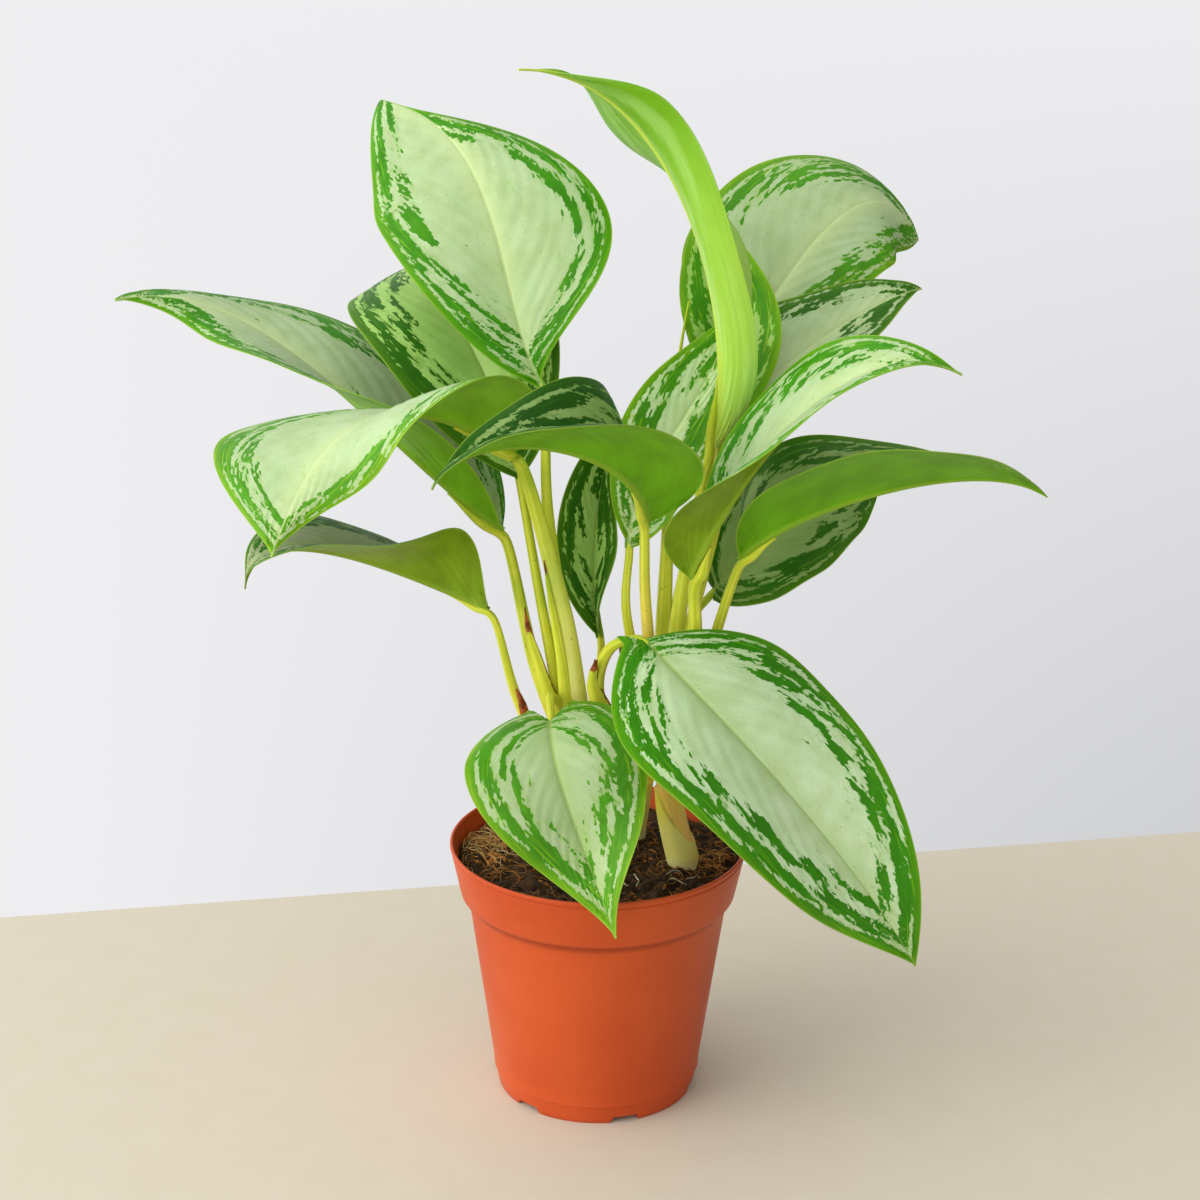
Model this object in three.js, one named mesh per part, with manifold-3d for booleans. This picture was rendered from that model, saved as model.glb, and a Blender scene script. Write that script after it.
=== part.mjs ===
// Potted Chinese evergreen (Aglaonema) in a 12 cm terracotta-coloured nursery pot.
// Millimetres, +Z up. The origin is the centre of the pot's foot, on the surface it stands on.
// The plant's front, the side its large low leaves hang over, faces -Y, and +X is to its right.

import * as THREE from 'three';
import { mergeVertices } from 'three/addons/utils/BufferGeometryUtils.js';
import Module from 'manifold-3d';

const wasm = await Module();
wasm.setup();

// ---- Driving dimensions -------------------------------------------------------------------

const GAP = 0.3;                 // air between pieces that touch in life
const STALK_GAP = 2;             // air between a stalk's end and its blade
const POT_HEIGHT = 107;
const RIM_RADIUS = 60;
const BAND_HEIGHT = 22;          // collar below the rim
const BAND_FOOT_RADIUS = 56;
const BODY_TOP_RADIUS = 52.8;
const FOOT_RADIUS = 41;
const WALL = 1.4;
const FOOT_RING_WIDTH = 3;
const FLOOR_LIFT = 3;            // raised channel between the foot ring and the centre disc
const FLOOR_THICKNESS = 1.6;
const CENTRE_DISC_RADIUS = 22;
const LINE_HEIGHT = 8;           // moulded line round the foot
const LINE_DEPTH = 0.4;
const POT_SIDES = 48;

const NOTCH_COUNT = 6;           // drainage notches in the foot ring
const NOTCH_TURN = 17;           // degrees from the front to the first notch, towards +X
const NOTCH_WIDTH = 11;
const NOTCH_HEIGHT = 2.6;
const DRAIN_RADIUS = 3.5;        // holes in the raised channel
const DRAIN_CIRCLE = 31;
const DRAIN_SIDES = 12;

const SOIL_TOP = 99.5;
const SOIL_ROUGHNESS = 1.2;
const SOIL_RINGS = 5;
const SOIL_SIDES = 24;
const SEED = 11;

const BLADE_THICKNESS = 0.8;
const RIB_DROP = 1.3;            // keel of the midrib below the blade, at the base
const NECK_HALF_WIDTH = 1.7;     // blade half-width where it meets its stalk
const TIP_HALF_WIDTH = 0.5;
const BLADE_ROWS = 13;
const BLADE_COLUMNS = [0.4, 0.75, 1];   // share of each half's width
const LOBE_SPAN = 0.07;          // share of the length over which a basal lobe dies away
const LOBE_SPREAD = 0.75;        // how far apart the lobes' ends stand, as a share of their length
const STALK_SIDES = 8;
const STALK_END_RUN = 4;         // straight end of a stalk, halfway between its own line and the midrib's
const STALK_SINK = 1.4;          // how far below the midrib's line a stalk ends
const STALK_STEPS_PER_SPAN = 2;

// ---- The plant ----------------------------------------------------------------------------

// One half of a blade: its flat width, the two powers of its outline (towards base and tip), the fold
// up from the midrib and the further turn on the way to the margin, in degrees, evenly spaced from
// base to tip. lobe is how far its base is drawn back past the stalk, and point the share of the
// length over which its tip is drawn out thin.
const half = (width, outline, fold, curl, lobe = 0, point = 0) => (
  { width, outline, fold, curl, lobe, point }
);

// A blade's midrib runs through four points, base to tip. face is the way its upper side looks at the
// base, the middle and the tip. left and right are as seen from the upper side with the tip up. stalk
// lists its stalk's points from the stem up to just below the blade, radii its thickness along it.
const LEAVES = [
  {
    name: 'leaf_crown_left', shoot: 'left',
    rib: [[-23, 5, 293], [-37, 14, 335], [-52, 31, 374], [-88, 62, 394]],
    face: [[0.1, -1, 0.1], [-0.05, -1, 0.25], [-0.3, -0.5, 0.8]],
    left: half(42, [0.95, 0.6], [25, 15, 5], [-10, -20, -20]),
    right: half(44, [1.7, 2.4], [30, 12, 5], [0, -35, -60]),
    stalk: [[-8, 1, 150], [-15, 0, 201], [-21, 2, 249]], radii: [3.6, 2.6, 1.8],
  },
  {
    name: 'leaf_far_left', shoot: 'left',
    rib: [[-39, 15, 233], [-86, 21, 272], [-138, 43, 307], [-191, 36, 319]],
    face: [[0.5, 0.2, 0.8], [0, -0.15, 1], [0.3, -0.35, 0.9]],
    left: half(34, [1.1, 1.4], [55, 30, -15], [0, -5, -30]),
    right: half(40, [0.4, 0.7], [45, 15, -15], [0, -20, -30]),
    stalk: [[-8, 0, 140], [-17, -2, 159], [-26, 2, 183]], radii: [3.2, 2],
  },
  {
    name: 'leaf_drooping_left', shoot: 'left',
    rib: [[-33, -4, 270], [-76, -34, 292], [-102, -58, 281], [-117, -82, 252]],
    face: [[0.2, 0.3, 0.95], [-0.2, -0.2, 1], [-0.2, -1, 0.2]],
    left: half(45, [0.55, 1.4], [45, 25, -15], [-25, -25, -30]),
    right: half(56, [1.8, 1.4], [10, -5, 5], [-10, -10, -15]),
    stalk: [[-6, 0, 140], [-9, -4, 167], [-14, -5, 203], [-24, -6, 244]], radii: [5, 2.4],
  },
  {
    name: 'leaf_behind_left', shoot: 'left',
    rib: [[-32, 12, 255], [-45, 20, 293], [-63, 41, 320], [-77, 85, 324]],
    face: [[0.1, -1, 0.3], [0.05, -0.9, 0.45], [-0.15, -0.4, 0.9]],
    left: half(40, [0.8, 0.6], [25, 35, 5], [-10, -15, -30]),
    right: half(38, [0.9, 0.7], [30, 20, 5], [-10, -20, -30]),
    stalk: [[-8, 2, 145], [-15, 1, 165], [-22, 4, 199]], radii: [2.6, 1.7],
  },
  {
    name: 'leaf_centre', shoot: 'right',
    rib: [[17, -29, 250], [-2, -63, 283], [-36, -79, 292], [-59, -91, 280]],
    face: [[0.7, 0.1, 0.7], [0.15, 0, 1], [-0.45, 0, 0.9]],
    left: half(39, [0.8, 1.2], [70, 45, 25], [-30, -30, -25]),
    right: half(44, [0.4, 1.9], [35, 50, 30], [-30, -20, -25]),
    stalk: [[23, -5, 150], [20, -10, 185], [17, -20, 220]], radii: [2.8, 1.8],
  },
  {
    name: 'leaf_low_left', shoot: 'left',
    rib: [[-44, -5, 207], [-79, -5, 222], [-115, -25, 237], [-134, -34, 224]],
    face: [[0, 0.4, 0.9], [0.1, 0.1, 1], [-0.4, -0.2, 0.9]],
    left: half(36, [0.9, 1.5], [68, 26, 25], [0, -10, -15]),
    right: half(31, [1, 1.4], [35, 28, 20], [-20, -20, -20]),
    stalk: [[-10, 3, 135], [-24, 4, 148], [-33, 2, 168]], radii: [2.8, 1.5],
  },
  {
    name: 'leaf_young', shoot: 'right',
    rib: [[43, 0, 272], [40, -11, 337], [14, -8, 392], [-31, -22, 416]],
    face: [[1, 0.1, 0.1], [0.9, -0.3, 0.4], [0.5, 0, 0.9]],
    left: half(26.5, [0.6, 0.4], [30, 0, 30, 20], [105, 100, 45, 0], 0, 0.3),
    right: half(30, [0.6, 0.45], [20, 25, -35, 15], [0, 0, 0, 0], 0, 0.3),
    stalk: [[28, -5, 150], [30, -4, 200], [37, 0, 245]], radii: [4, 1.9],
  },
  {
    name: 'leaf_top_right', shoot: 'back',
    rib: [[56, 68, 296], [73, 76, 320], [102, 98, 347], [133, 122, 330]],
    face: [[-0.25, -0.9, 0.35], [-0.2, -0.85, 0.5], [0.15, -0.45, 0.9]],
    left: half(45, [0.6, 0.9], [25, 15, 5], [-10, -20, -30]),
    right: half(29, [0.7, 0.45], [10, -8, -17], [-10, -10, -10]),
    stalk: [[22, 20, 150], [34, 35, 210], [49, 62, 266]], radii: [3, 1.7],
  },
  {
    name: 'leaf_behind_young', shoot: 'back',
    rib: [[47, 19, 269], [50, 25, 304], [48, 31, 330], [41, 37, 361]],
    face: [[0, -1, 0.2], [0, -1, 0.3], [0, -1, 0.3]],
    left: half(20, [0.9, 0.7], [30, 20, 10], [-10, -10, -20]),
    right: half(20, [0.9, 1.3], [30, 20, 10], [-10, -10, -20]),
    stalk: [[18, 18, 150], [30, 18, 200], [42, 18, 241]], radii: [2.6, 1.7],
  },
  {
    name: 'leaf_upper_right', shoot: 'back',
    rib: [[51, 28, 275], [75, 40, 296], [105, 59, 312], [129, 73, 319]],
    face: [[-0.3, -0.85, 0.45], [-0.25, -0.65, 0.7], [-0.15, -0.65, 0.75]],
    left: half(27, [0.3, 0.85], [35, 15, 15], [-5, -15, -20]),
    right: half(25, [0.5, 1.4], [30, 20, 10], [-10, -10, -20]),
    stalk: [[24, 18, 150], [39, 20, 205], [48, 26, 245]], radii: [2.6, 1.7],
  },
  {
    name: 'leaf_mid_right', shoot: 'right',
    rib: [[35, -17, 224], [52, -28, 263], [86, -43, 306], [129, -51, 313]],
    face: [[-1, 0.1, 0.2], [-0.55, -0.2, 0.8], [0, -0.3, 0.95]],
    left: half(26, [1.7, 1.5], [58, 33, 31], [-10, -25, -20]),
    right: half(25, [0.8, 1.4], [92, 34, 30], [-10, -25, -20]),
    stalk: [[32, -5, 150], [36, -8, 175], [37, -14, 198]], radii: [3.2, 2.4],
  },
  {
    name: 'leaf_low_right', shoot: 'right',
    rib: [[54, -7, 229], [87, -18, 253], [132, -23, 266], [167, -28, 261]],
    face: [[-0.1, 0, 1], [-0.1, 0, 1], [0, 0.1, 1]],
    left: half(39, [0.55, 1.9], [54, 40, 13], [-18, -20, -23]),
    right: half(35, [1, 1.15], [60, 50, 33], [-15, -18, -19]),
    stalk: [[33, -4, 150], [40, -4, 175], [46, -5, 201]], radii: [3, 1.9],
  },
  {
    name: 'leaf_back_right', shoot: 'back',
    rib: [[46, 36, 202], [68, 44, 220], [93, 58, 233], [115, 69, 237]],
    face: [[0, -0.5, 0.85], [0, -0.5, 0.85], [0, -0.5, 0.85]],
    left: half(30, [0.6, 1.05], [20, 10, 5], [0, 0, 0]),
    right: half(25, [0.45, 0.75], [10, 5, 0], [-20, -28, -30], 3),
    stalk: [[22, 20, 140], [27, 28, 160], [36, 33, 189]], radii: [2.6, 1.6],
  },
  {
    name: 'leaf_centre_upright', shoot: 'back',
    rib: [[0, 19, 187], [-3, 26, 214], [-1, 32, 239], [3, 39, 270]],
    face: [[-0.1, -1, 0.2], [0.05, -1, 0.2], [-0.1, -1, 0.2]],
    left: half(17, [0.85, 0.75], [22, 23, 18], [0, 0, 0]),
    right: half(16, [0.75, 1.4], [85, 55, 55], [0, 0, 0]),
    stalk: [[14, 18, 118], [7, 18, 138], [0, 18, 165]], radii: [2.4, 1.5],
  },
  {
    name: 'leaf_inner_right', shoot: 'back',
    rib: [[11, 9, 228], [19, 11, 258], [36, 14, 287], [49, 15, 321]],
    face: [[-0.2, -1, 0.2], [-0.1, -1, 0.25], [0, -1, 0.3]],
    left: half(21, [1.2, 1], [20, 13, 13], [0, 0, 0]),
    right: half(17, [0.6, 1.2], [14, 12, 5], [0, 0, 0]),
    stalk: [[17, 12, 145], [14, 6, 180], [10, 4, 207]], radii: [2.6, 1.7],
  },
  {
    name: 'leaf_pot_front', shoot: 'left',
    rib: [[-19, -26, 169], [-15, -49, 154], [-5, -58, 127], [7, -79, 102]],
    face: [[-0.15, -0.75, 0.65], [-0.05, -0.75, 0.65], [-0.25, -0.75, 0.6]],
    left: half(35, [0.4, 1], [15, 15, 45], [-20, -20, 0], 11),
    right: half(35, [0.45, 1.3], [10, 20, 10], [-25, -20, -10], 11),
    stalk: [[-6, -1, 135], [-11, -3, 155], [-19, -13, 174]], radii: [2.8, 1.3],
  },
  {
    name: 'leaf_big_front', shoot: 'right',
    rib: [[17, -28, 203], [46, -51, 179], [85, -65, 138], [122, -64, 84]],
    face: [[0, -0.55, 0.85], [0.2, -0.65, 0.75], [0.25, -0.9, 0.3]],
    left: half(47, [0.75, 1], [8, 6, 12], [-21, -21, -6]),
    right: half(45, [0.8, 1.15], [2, 25, 10], [-24, -13, -8], 8),
    stalk: [[20, -4, 135], [5, -8, 155], [-1, -12, 178], [4, -16, 195]], radii: [4, 1.7],
  },
];

// Stems stand in the soil, from their lower end up. The spear is the newest leaf, still rolled shut.
const SHOOTS = {
  left: {
    stems: [{ path: [[-3, 6, 76], [-3, 5, 98], [-5, 2, 125], [-9, -1, 160]], radii: [6, 4.5] }],
  },
  right: {
    stems: [{ path: [[39, -12, 76], [35, -10, 99], [29, -7, 125], [27, -6, 165]], radii: [6.6, 5.2] }],
  },
  back: {
    stems: [
      { path: [[13, 20, 76], [14, 20, 98], [18, 17, 130], [22, 15, 160]], radii: [5.6, 4.6] },
      { path: [[24, 17, 150], [26, 18, 220], [27, 18, 279], [31, 20, 312], [33, 21, 324]],
        radii: [3.4, 3.2, 2.2, 1.2, 0.4] },
    ],
  },
};

// ---- Colours, roughness -------------------------------------------------------------------

const finish = (color, roughness) => new THREE.MeshStandardMaterial({ color, roughness, metalness: 0 });
const FINISHES = {
  pot: () => finish('#cf5f38', 0.45),
  soil: () => finish('#3a2a1c', 0.95),
  leaf: () => finish('#7fae63', 0.4),
  youngLeaf: () => finish('#8fc93a', 0.4),
  stem: () => finish('#b9c24a', 0.45),
};

// ---- Geometry helpers ---------------------------------------------------------------------

const radians = THREE.MathUtils.degToRad;
const vector = (point) => new THREE.Vector3(...point);

// Seeded pseudo-random numbers from 0 to 1.
function randomSource(seed) {
  let state = seed;
  return () => {
    state = (state * 1664525 + 1013904223) % 4294967296;
    return state / 4294967296;
  };
}

// The value at t of a list evenly spaced from 0 to 1, on a smooth curve through its entries.
function along(list, t) {
  const x = t * (list.length - 1);
  const i = Math.min(Math.floor(x), list.length - 2);
  const at = (k) => list[Math.min(Math.max(k, 0), list.length - 1)];
  const f = x - i;
  const [a, b, c, d] = [at(i - 1), at(i), at(i + 1), at(i + 2)];
  const [square, cube] = [2 * a - 5 * b + 4 * c - d, 3 * (b - c) + d - a];
  return 0.5 * (2 * b + (c - a) * f + square * f * f + cube * f * f * f);
}

// The cubic through four points at t = 0, 1/3, 2/3 and 1.
function ribPoint(points, t) {
  const [u, v, w] = [t - 1 / 3, t - 2 / 3, t - 1];
  const weights = [-4.5 * u * v * w, 13.5 * t * v * w, -13.5 * t * u * w, 4.5 * t * u * v];
  const sum = new THREE.Vector3();
  points.forEach((point, k) => sum.addScaledVector(vector(point), weights[k]));
  return sum;
}

function ribDirection(points, t) {
  const step = 1e-3;
  return ribPoint(points, Math.min(t + step, 1)).sub(ribPoint(points, Math.max(t - step, 0))).normalize();
}

// Where a strip that starts at the fold angle and turns steadily by curl has got to after a share s.
function bend(fold, curl, s) {
  if (Math.abs(curl) < 1e-3) return [s * Math.cos(fold), s * Math.sin(fold)];
  const end = fold + curl * s;
  return [(Math.sin(end) - Math.sin(fold)) / curl, (Math.cos(fold) - Math.cos(end)) / curl];
}

function toSolid(geometry) {
  const bare = geometry.clone();
  bare.deleteAttribute('normal');
  bare.deleteAttribute('uv');
  const merged = mergeVertices(bare, 1e-4);
  const vertProperties = new Float32Array(merged.attributes.position.array);
  const triVerts = new Uint32Array(merged.index.array);
  return new wasm.Manifold(new wasm.Mesh({ numProp: 3, vertProperties, triVerts }));
}

function toGeometry(solid) {
  const mesh = solid.getMesh();
  return closedGeometry(mesh.vertProperties, mesh.triVerts);
}

function closedGeometry(positions, triangles) {
  const geometry = new THREE.BufferGeometry();
  geometry.setAttribute('position', new THREE.BufferAttribute(new Float32Array(positions), 3));
  geometry.setIndex(new THREE.BufferAttribute(new Uint32Array(triangles), 1));
  geometry.computeVertexNormals();
  return geometry;
}

// A closed round rod along a smooth curve, its radius spread evenly over the curve's length.
function rod(points, radii, grow = 0) {
  const curve = new THREE.CatmullRomCurve3(points.map(vector), false, 'centripetal');
  const steps = (points.length - 1) * STALK_STEPS_PER_SPAN;
  const frames = curve.computeFrenetFrames(steps);
  const positions = [];
  const triangles = [];
  for (let i = 0; i <= steps; i += 1) {
    const centre = curve.getPointAt(i / steps);
    const radius = along(radii, i / steps) + grow;
    for (let k = 0; k < STALK_SIDES; k += 1) {
      const turn = (2 * Math.PI * k) / STALK_SIDES;
      const point = centre.clone()
        .addScaledVector(frames.normals[i], radius * Math.cos(turn))
        .addScaledVector(frames.binormals[i], radius * Math.sin(turn));
      positions.push(...point.toArray());
    }
  }
  const ring = (i, k) => i * STALK_SIDES + (k % STALK_SIDES);
  for (let i = 0; i < steps; i += 1) {
    for (let k = 0; k < STALK_SIDES; k += 1) {
      triangles.push(ring(i, k), ring(i, k + 1), ring(i + 1, k + 1));
      triangles.push(ring(i, k), ring(i + 1, k + 1), ring(i + 1, k));
    }
  }
  for (let k = 1; k < STALK_SIDES - 1; k += 1) {
    triangles.push(ring(0, 0), ring(0, k + 1), ring(0, k));
    triangles.push(ring(steps, 0), ring(steps, k), ring(steps, k + 1));
  }
  return closedGeometry(positions, triangles);
}

// ---- Leaves -------------------------------------------------------------------------------

// Half-width of one side at t: t^p (1 - t)^q, scaled to reach the stated width at its widest.
function halfWidth(side, t) {
  const [p, q] = side.outline;
  const peak = (p / (p + q)) ** p * (q / (p + q)) ** q;
  const width = side.width * (t ** p * (1 - t) ** q) / peak;
  const drawn = side.point ? THREE.MathUtils.smoothstep(1 - t, 0, side.point) : 1;
  const neck = NECK_HALF_WIDTH + LOBE_SPREAD * side.lobe;
  return Math.max(width * drawn, THREE.MathUtils.lerp(neck, TIP_HALF_WIDTH, t));
}

// One row of the blade's middle surface, from the left margin over the midrib to the right margin.
function bladeRow(leaf, t) {
  const centre = ribPoint(leaf.rib, t);
  const tangent = ribDirection(leaf.rib, t);
  const face = new THREE.Vector3(
    along(leaf.face.map((f) => f[0] / vector(f).length()), t),
    along(leaf.face.map((f) => f[1] / vector(f).length()), t),
    along(leaf.face.map((f) => f[2] / vector(f).length()), t),
  );
  const up = face.addScaledVector(tangent, -face.dot(tangent)).normalize();
  const across = new THREE.Vector3().crossVectors(tangent, up);
  const point = (side, sign, share) => {
    const width = halfWidth(side, t);
    const [out, rise] = bend(radians(along(side.fold, t)), radians(along(side.curl, t)), share);
    const back = side.lobe * Math.exp(-t / LOBE_SPAN) * THREE.MathUtils.smoothstep(share, 0, 1);
    return centre.clone()
      .addScaledVector(across, sign * out * width)
      .addScaledVector(up, rise * width)
      .addScaledVector(tangent, -back);
  };
  const left = BLADE_COLUMNS.map((share) => point(leaf.left, -1, share)).reverse();
  const right = BLADE_COLUMNS.map((share) => point(leaf.right, 1, share));
  return [...left, centre, ...right];
}

// A blade is its middle surface thickened both ways, with the midrib as a keel underneath.
function blade(leaf) {
  const shares = Array.from({ length: BLADE_ROWS + 1 }, (_, i) => {
    const u = i / BLADE_ROWS;
    return THREE.MathUtils.lerp(u, 0.5 - 0.5 * Math.cos(Math.PI * u), 0.6);
  });
  const rows = shares.map((t) => bladeRow(leaf, t));
  const columns = rows[0].length;
  const middle = (columns - 1) / 2;
  const top = [];
  const bottom = [];
  rows.forEach((row, i) => row.forEach((point, j) => {
    const down = rows[Math.min(i + 1, BLADE_ROWS)][j].clone().sub(rows[Math.max(i - 1, 0)][j]);
    const over = row[Math.min(j + 1, columns - 1)].clone().sub(row[Math.max(j - 1, 0)]);
    const normal = over.cross(down).normalize();
    const keel = j === middle ? RIB_DROP * (1 - 0.8 * shares[i]) : 0;
    top.push(...point.clone().addScaledVector(normal, BLADE_THICKNESS / 2).toArray());
    bottom.push(...point.clone().addScaledVector(normal, -BLADE_THICKNESS / 2 - keel).toArray());
  }));
  const under = (BLADE_ROWS + 1) * columns;
  const at = (i, j) => i * columns + j;
  const triangles = [];
  for (let i = 0; i < BLADE_ROWS; i += 1) {
    for (let j = 0; j < columns - 1; j += 1) {
      const [a, b, c, d] = [at(i, j), at(i, j + 1), at(i + 1, j + 1), at(i + 1, j)];
      const split = j < middle ? [a, b, c, a, c, d] : [a, b, d, b, c, d];
      triangles.push(...split);
      for (let k = 0; k < 6; k += 3) {
        triangles.push(split[k] + under, split[k + 2] + under, split[k + 1] + under);
      }
    }
  }
  const wall = (a, b) => triangles.push(a, a + under, b, b, a + under, b + under);
  for (let i = 0; i < BLADE_ROWS; i += 1) {
    wall(at(i + 1, 0), at(i, 0));
    wall(at(i, columns - 1), at(i + 1, columns - 1));
  }
  for (let j = 0; j < columns - 1; j += 1) {
    wall(at(0, j), at(0, j + 1));
    wall(at(BLADE_ROWS, j + 1), at(BLADE_ROWS, j));
  }
  return closedGeometry([...top, ...bottom], triangles);
}

// ---- Stems and stalks ---------------------------------------------------------------------

// A stalk turns halfway into the line of its blade's midrib and ends just short of it and below it.
function stalkPath(leaf) {
  const midrib = ribDirection(leaf.rib, 0);
  const up = vector(leaf.face[0]).projectOnPlane(midrib).normalize();
  const base = vector(leaf.rib[0]).addScaledVector(up, -STALK_SINK);
  const chord = base.clone().sub(vector(leaf.stalk.at(-1))).normalize();
  const direction = midrib.add(chord).normalize();
  const end = (distance) => base.clone().addScaledVector(direction, -distance).toArray();
  return [...leaf.stalk, end(STALK_END_RUN), end(STALK_GAP)];
}

function shootRods(name) {
  const stems = SHOOTS[name].stems.map((stem) => rod(stem.path, stem.radii));
  const stalks = LEAVES.filter((leaf) => leaf.shoot === name)
    .map((leaf) => rod(stalkPath(leaf), leaf.radii));
  return [...stems, ...stalks];
}

function shoot(name) {
  return toGeometry(shootRods(name).map(toSolid).reduce((sum, solid) => sum.add(solid)));
}

// ---- Pot and soil -------------------------------------------------------------------------

function innerRadius(z) {
  const share = z / (POT_HEIGHT - BAND_HEIGHT);
  return THREE.MathUtils.lerp(FOOT_RADIUS, BODY_TOP_RADIUS, share) - WALL;
}

function potProfile() {
  const bandFoot = POT_HEIGHT - BAND_HEIGHT;
  const ringInner = FOOT_RADIUS - FOOT_RING_WIDTH;
  const slope = (BODY_TOP_RADIUS - FOOT_RADIUS) / bandFoot;
  const floorTop = FLOOR_LIFT + FLOOR_THICKNESS;
  return [
    [0, 0], [CENTRE_DISC_RADIUS, 0], [CENTRE_DISC_RADIUS + 2, FLOOR_LIFT], [ringInner, FLOOR_LIFT],
    [ringInner, 0], [FOOT_RADIUS - LINE_DEPTH, 0],
    [FOOT_RADIUS - LINE_DEPTH + slope * LINE_HEIGHT, LINE_HEIGHT],
    [FOOT_RADIUS + slope * LINE_HEIGHT, LINE_HEIGHT + LINE_DEPTH],
    [BODY_TOP_RADIUS, bandFoot], [BAND_FOOT_RADIUS - 0.6, bandFoot + 0.6], [BAND_FOOT_RADIUS, bandFoot + 3],
    [RIM_RADIUS, POT_HEIGHT - 0.7], [RIM_RADIUS - 0.7, POT_HEIGHT], [RIM_RADIUS - WALL, POT_HEIGHT - 0.4],
    [BAND_FOOT_RADIUS - WALL, bandFoot + 5], [innerRadius(bandFoot), bandFoot - 1],
    [innerRadius(floorTop) - 1, floorTop + 1], [innerRadius(floorTop) - 3, floorTop],
    [CENTRE_DISC_RADIUS + 2, floorTop], [CENTRE_DISC_RADIUS, FLOOR_THICKNESS], [0, FLOOR_THICKNESS],
  ].map(([r, z]) => new THREE.Vector2(r, z));
}

// A lathed shape turned so that its axis is Z.
function lathe(profile, sides) {
  return new THREE.LatheGeometry(profile, sides).rotateX(Math.PI / 2);
}

function pot() {
  let solid = toSolid(lathe(potProfile(), POT_SIDES));
  for (let i = 0; i < NOTCH_COUNT; i += 1) {
    const turn = radians(NOTCH_TURN - 90 + (360 / NOTCH_COUNT) * i);
    const notch = new THREE.BoxGeometry(2 * FOOT_RING_WIDTH + 2, NOTCH_WIDTH, 2 * NOTCH_HEIGHT)
      .translate(FOOT_RADIUS - FOOT_RING_WIDTH / 2, 0, 0)
      .rotateZ(turn);
    const drain = new THREE.CylinderGeometry(DRAIN_RADIUS, DRAIN_RADIUS, 4 * FLOOR_LIFT, DRAIN_SIDES)
      .rotateX(Math.PI / 2)
      .translate(DRAIN_CIRCLE, 0, FLOOR_LIFT)
      .rotateZ(turn + Math.PI / NOTCH_COUNT);
    solid = solid.subtract(toSolid(notch)).subtract(toSolid(drain));
  }
  return toGeometry(solid);
}

// The root ball: it fills the pot, and its loose top is uneven, with a plain hole for each stem.
function soil() {
  const random = randomSource(SEED);
  const bottom = FLOOR_LIFT + FLOOR_THICKNESS + GAP;
  const bandFoot = POT_HEIGHT - BAND_HEIGHT;
  const shelf = innerRadius(bandFoot) - GAP;
  const wide = THREE.MathUtils.lerp(BAND_FOOT_RADIUS, RIM_RADIUS, 0.55) - WALL - 3 * GAP;
  const profile = [[0, bottom], [innerRadius(bottom) - 3 - GAP, bottom]];
  profile.push([innerRadius(bottom) - 1 - GAP, bottom + 3], [shelf, bandFoot - 1]);
  profile.push([BAND_FOOT_RADIUS - WALL - 3 * GAP, bandFoot + 6], [wide, SOIL_TOP - 1]);
  for (let i = SOIL_RINGS - 1; i >= 0; i -= 1) profile.push([(wide - 1) * (i / SOIL_RINGS), SOIL_TOP]);
  const geometry = lathe(profile.map(([r, z]) => new THREE.Vector2(r, z)), SOIL_SIDES);
  geometry.deleteAttribute('normal');
  geometry.deleteAttribute('uv');
  const merged = mergeVertices(geometry, 1e-3);
  const place = merged.attributes.position;
  for (let i = 0; i < place.count; i += 1) {
    if (place.getZ(i) >= SOIL_TOP - 0.5) place.setZ(i, SOIL_TOP + SOIL_ROUGHNESS * (2 * random() - 1));
  }
  let solid = toSolid(merged);
  for (const name of Object.keys(SHOOTS)) {
    const stem = SHOOTS[name].stems[0];
    const low = stem.path[0];
    const sunk = [[low[0], low[1], low[2] - GAP], ...stem.path.slice(1)];
    solid = solid.subtract(toSolid(rod(sunk, stem.radii, GAP)));
  }
  return toGeometry(solid);
}

// ---- Assembly -----------------------------------------------------------------------------

function piece(name, geometry, material) {
  const mesh = new THREE.Mesh(geometry, material);
  mesh.name = name;
  return mesh;
}

const plant = new THREE.Group();
plant.name = 'potted_chinese_evergreen';
plant.add(piece('pot', pot(), FINISHES.pot()));
plant.add(piece('soil', soil(), FINISHES.soil()));
for (const name of Object.keys(SHOOTS)) {
  plant.add(piece(`shoot_${name}`, shoot(name), FINISHES.stem()));
}
for (const leaf of LEAVES) {
  const young = leaf.name === 'leaf_young';
  plant.add(piece(leaf.name, blade(leaf), young ? FINISHES.youngLeaf() : FINISHES.leaf()));
}

export default plant;
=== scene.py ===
"""Potted Chinese evergreen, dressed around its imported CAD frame.

The plant stands on z = 0 with the pot's foot centred on the origin and its front towards -Y. Sizes and
places are written in millimetres, as in the CAD source, and MM turns them into Blender's metres.
"""

import logging
import math
from dataclasses import dataclass, field
from enum import Enum

import bpy
import numpy as np
from mathutils import Matrix


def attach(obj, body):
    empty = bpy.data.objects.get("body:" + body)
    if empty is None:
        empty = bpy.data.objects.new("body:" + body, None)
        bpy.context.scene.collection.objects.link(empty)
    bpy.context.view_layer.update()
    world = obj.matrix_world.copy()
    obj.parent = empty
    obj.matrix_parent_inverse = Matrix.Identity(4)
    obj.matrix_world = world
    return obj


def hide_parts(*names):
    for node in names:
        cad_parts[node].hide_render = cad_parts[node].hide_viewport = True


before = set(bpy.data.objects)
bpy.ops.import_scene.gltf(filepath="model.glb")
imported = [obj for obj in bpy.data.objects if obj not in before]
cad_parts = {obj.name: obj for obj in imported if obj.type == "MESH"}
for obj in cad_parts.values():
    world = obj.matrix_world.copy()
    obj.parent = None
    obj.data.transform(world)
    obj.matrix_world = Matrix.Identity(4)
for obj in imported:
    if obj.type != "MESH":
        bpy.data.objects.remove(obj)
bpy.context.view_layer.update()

Array = np.ndarray
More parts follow.
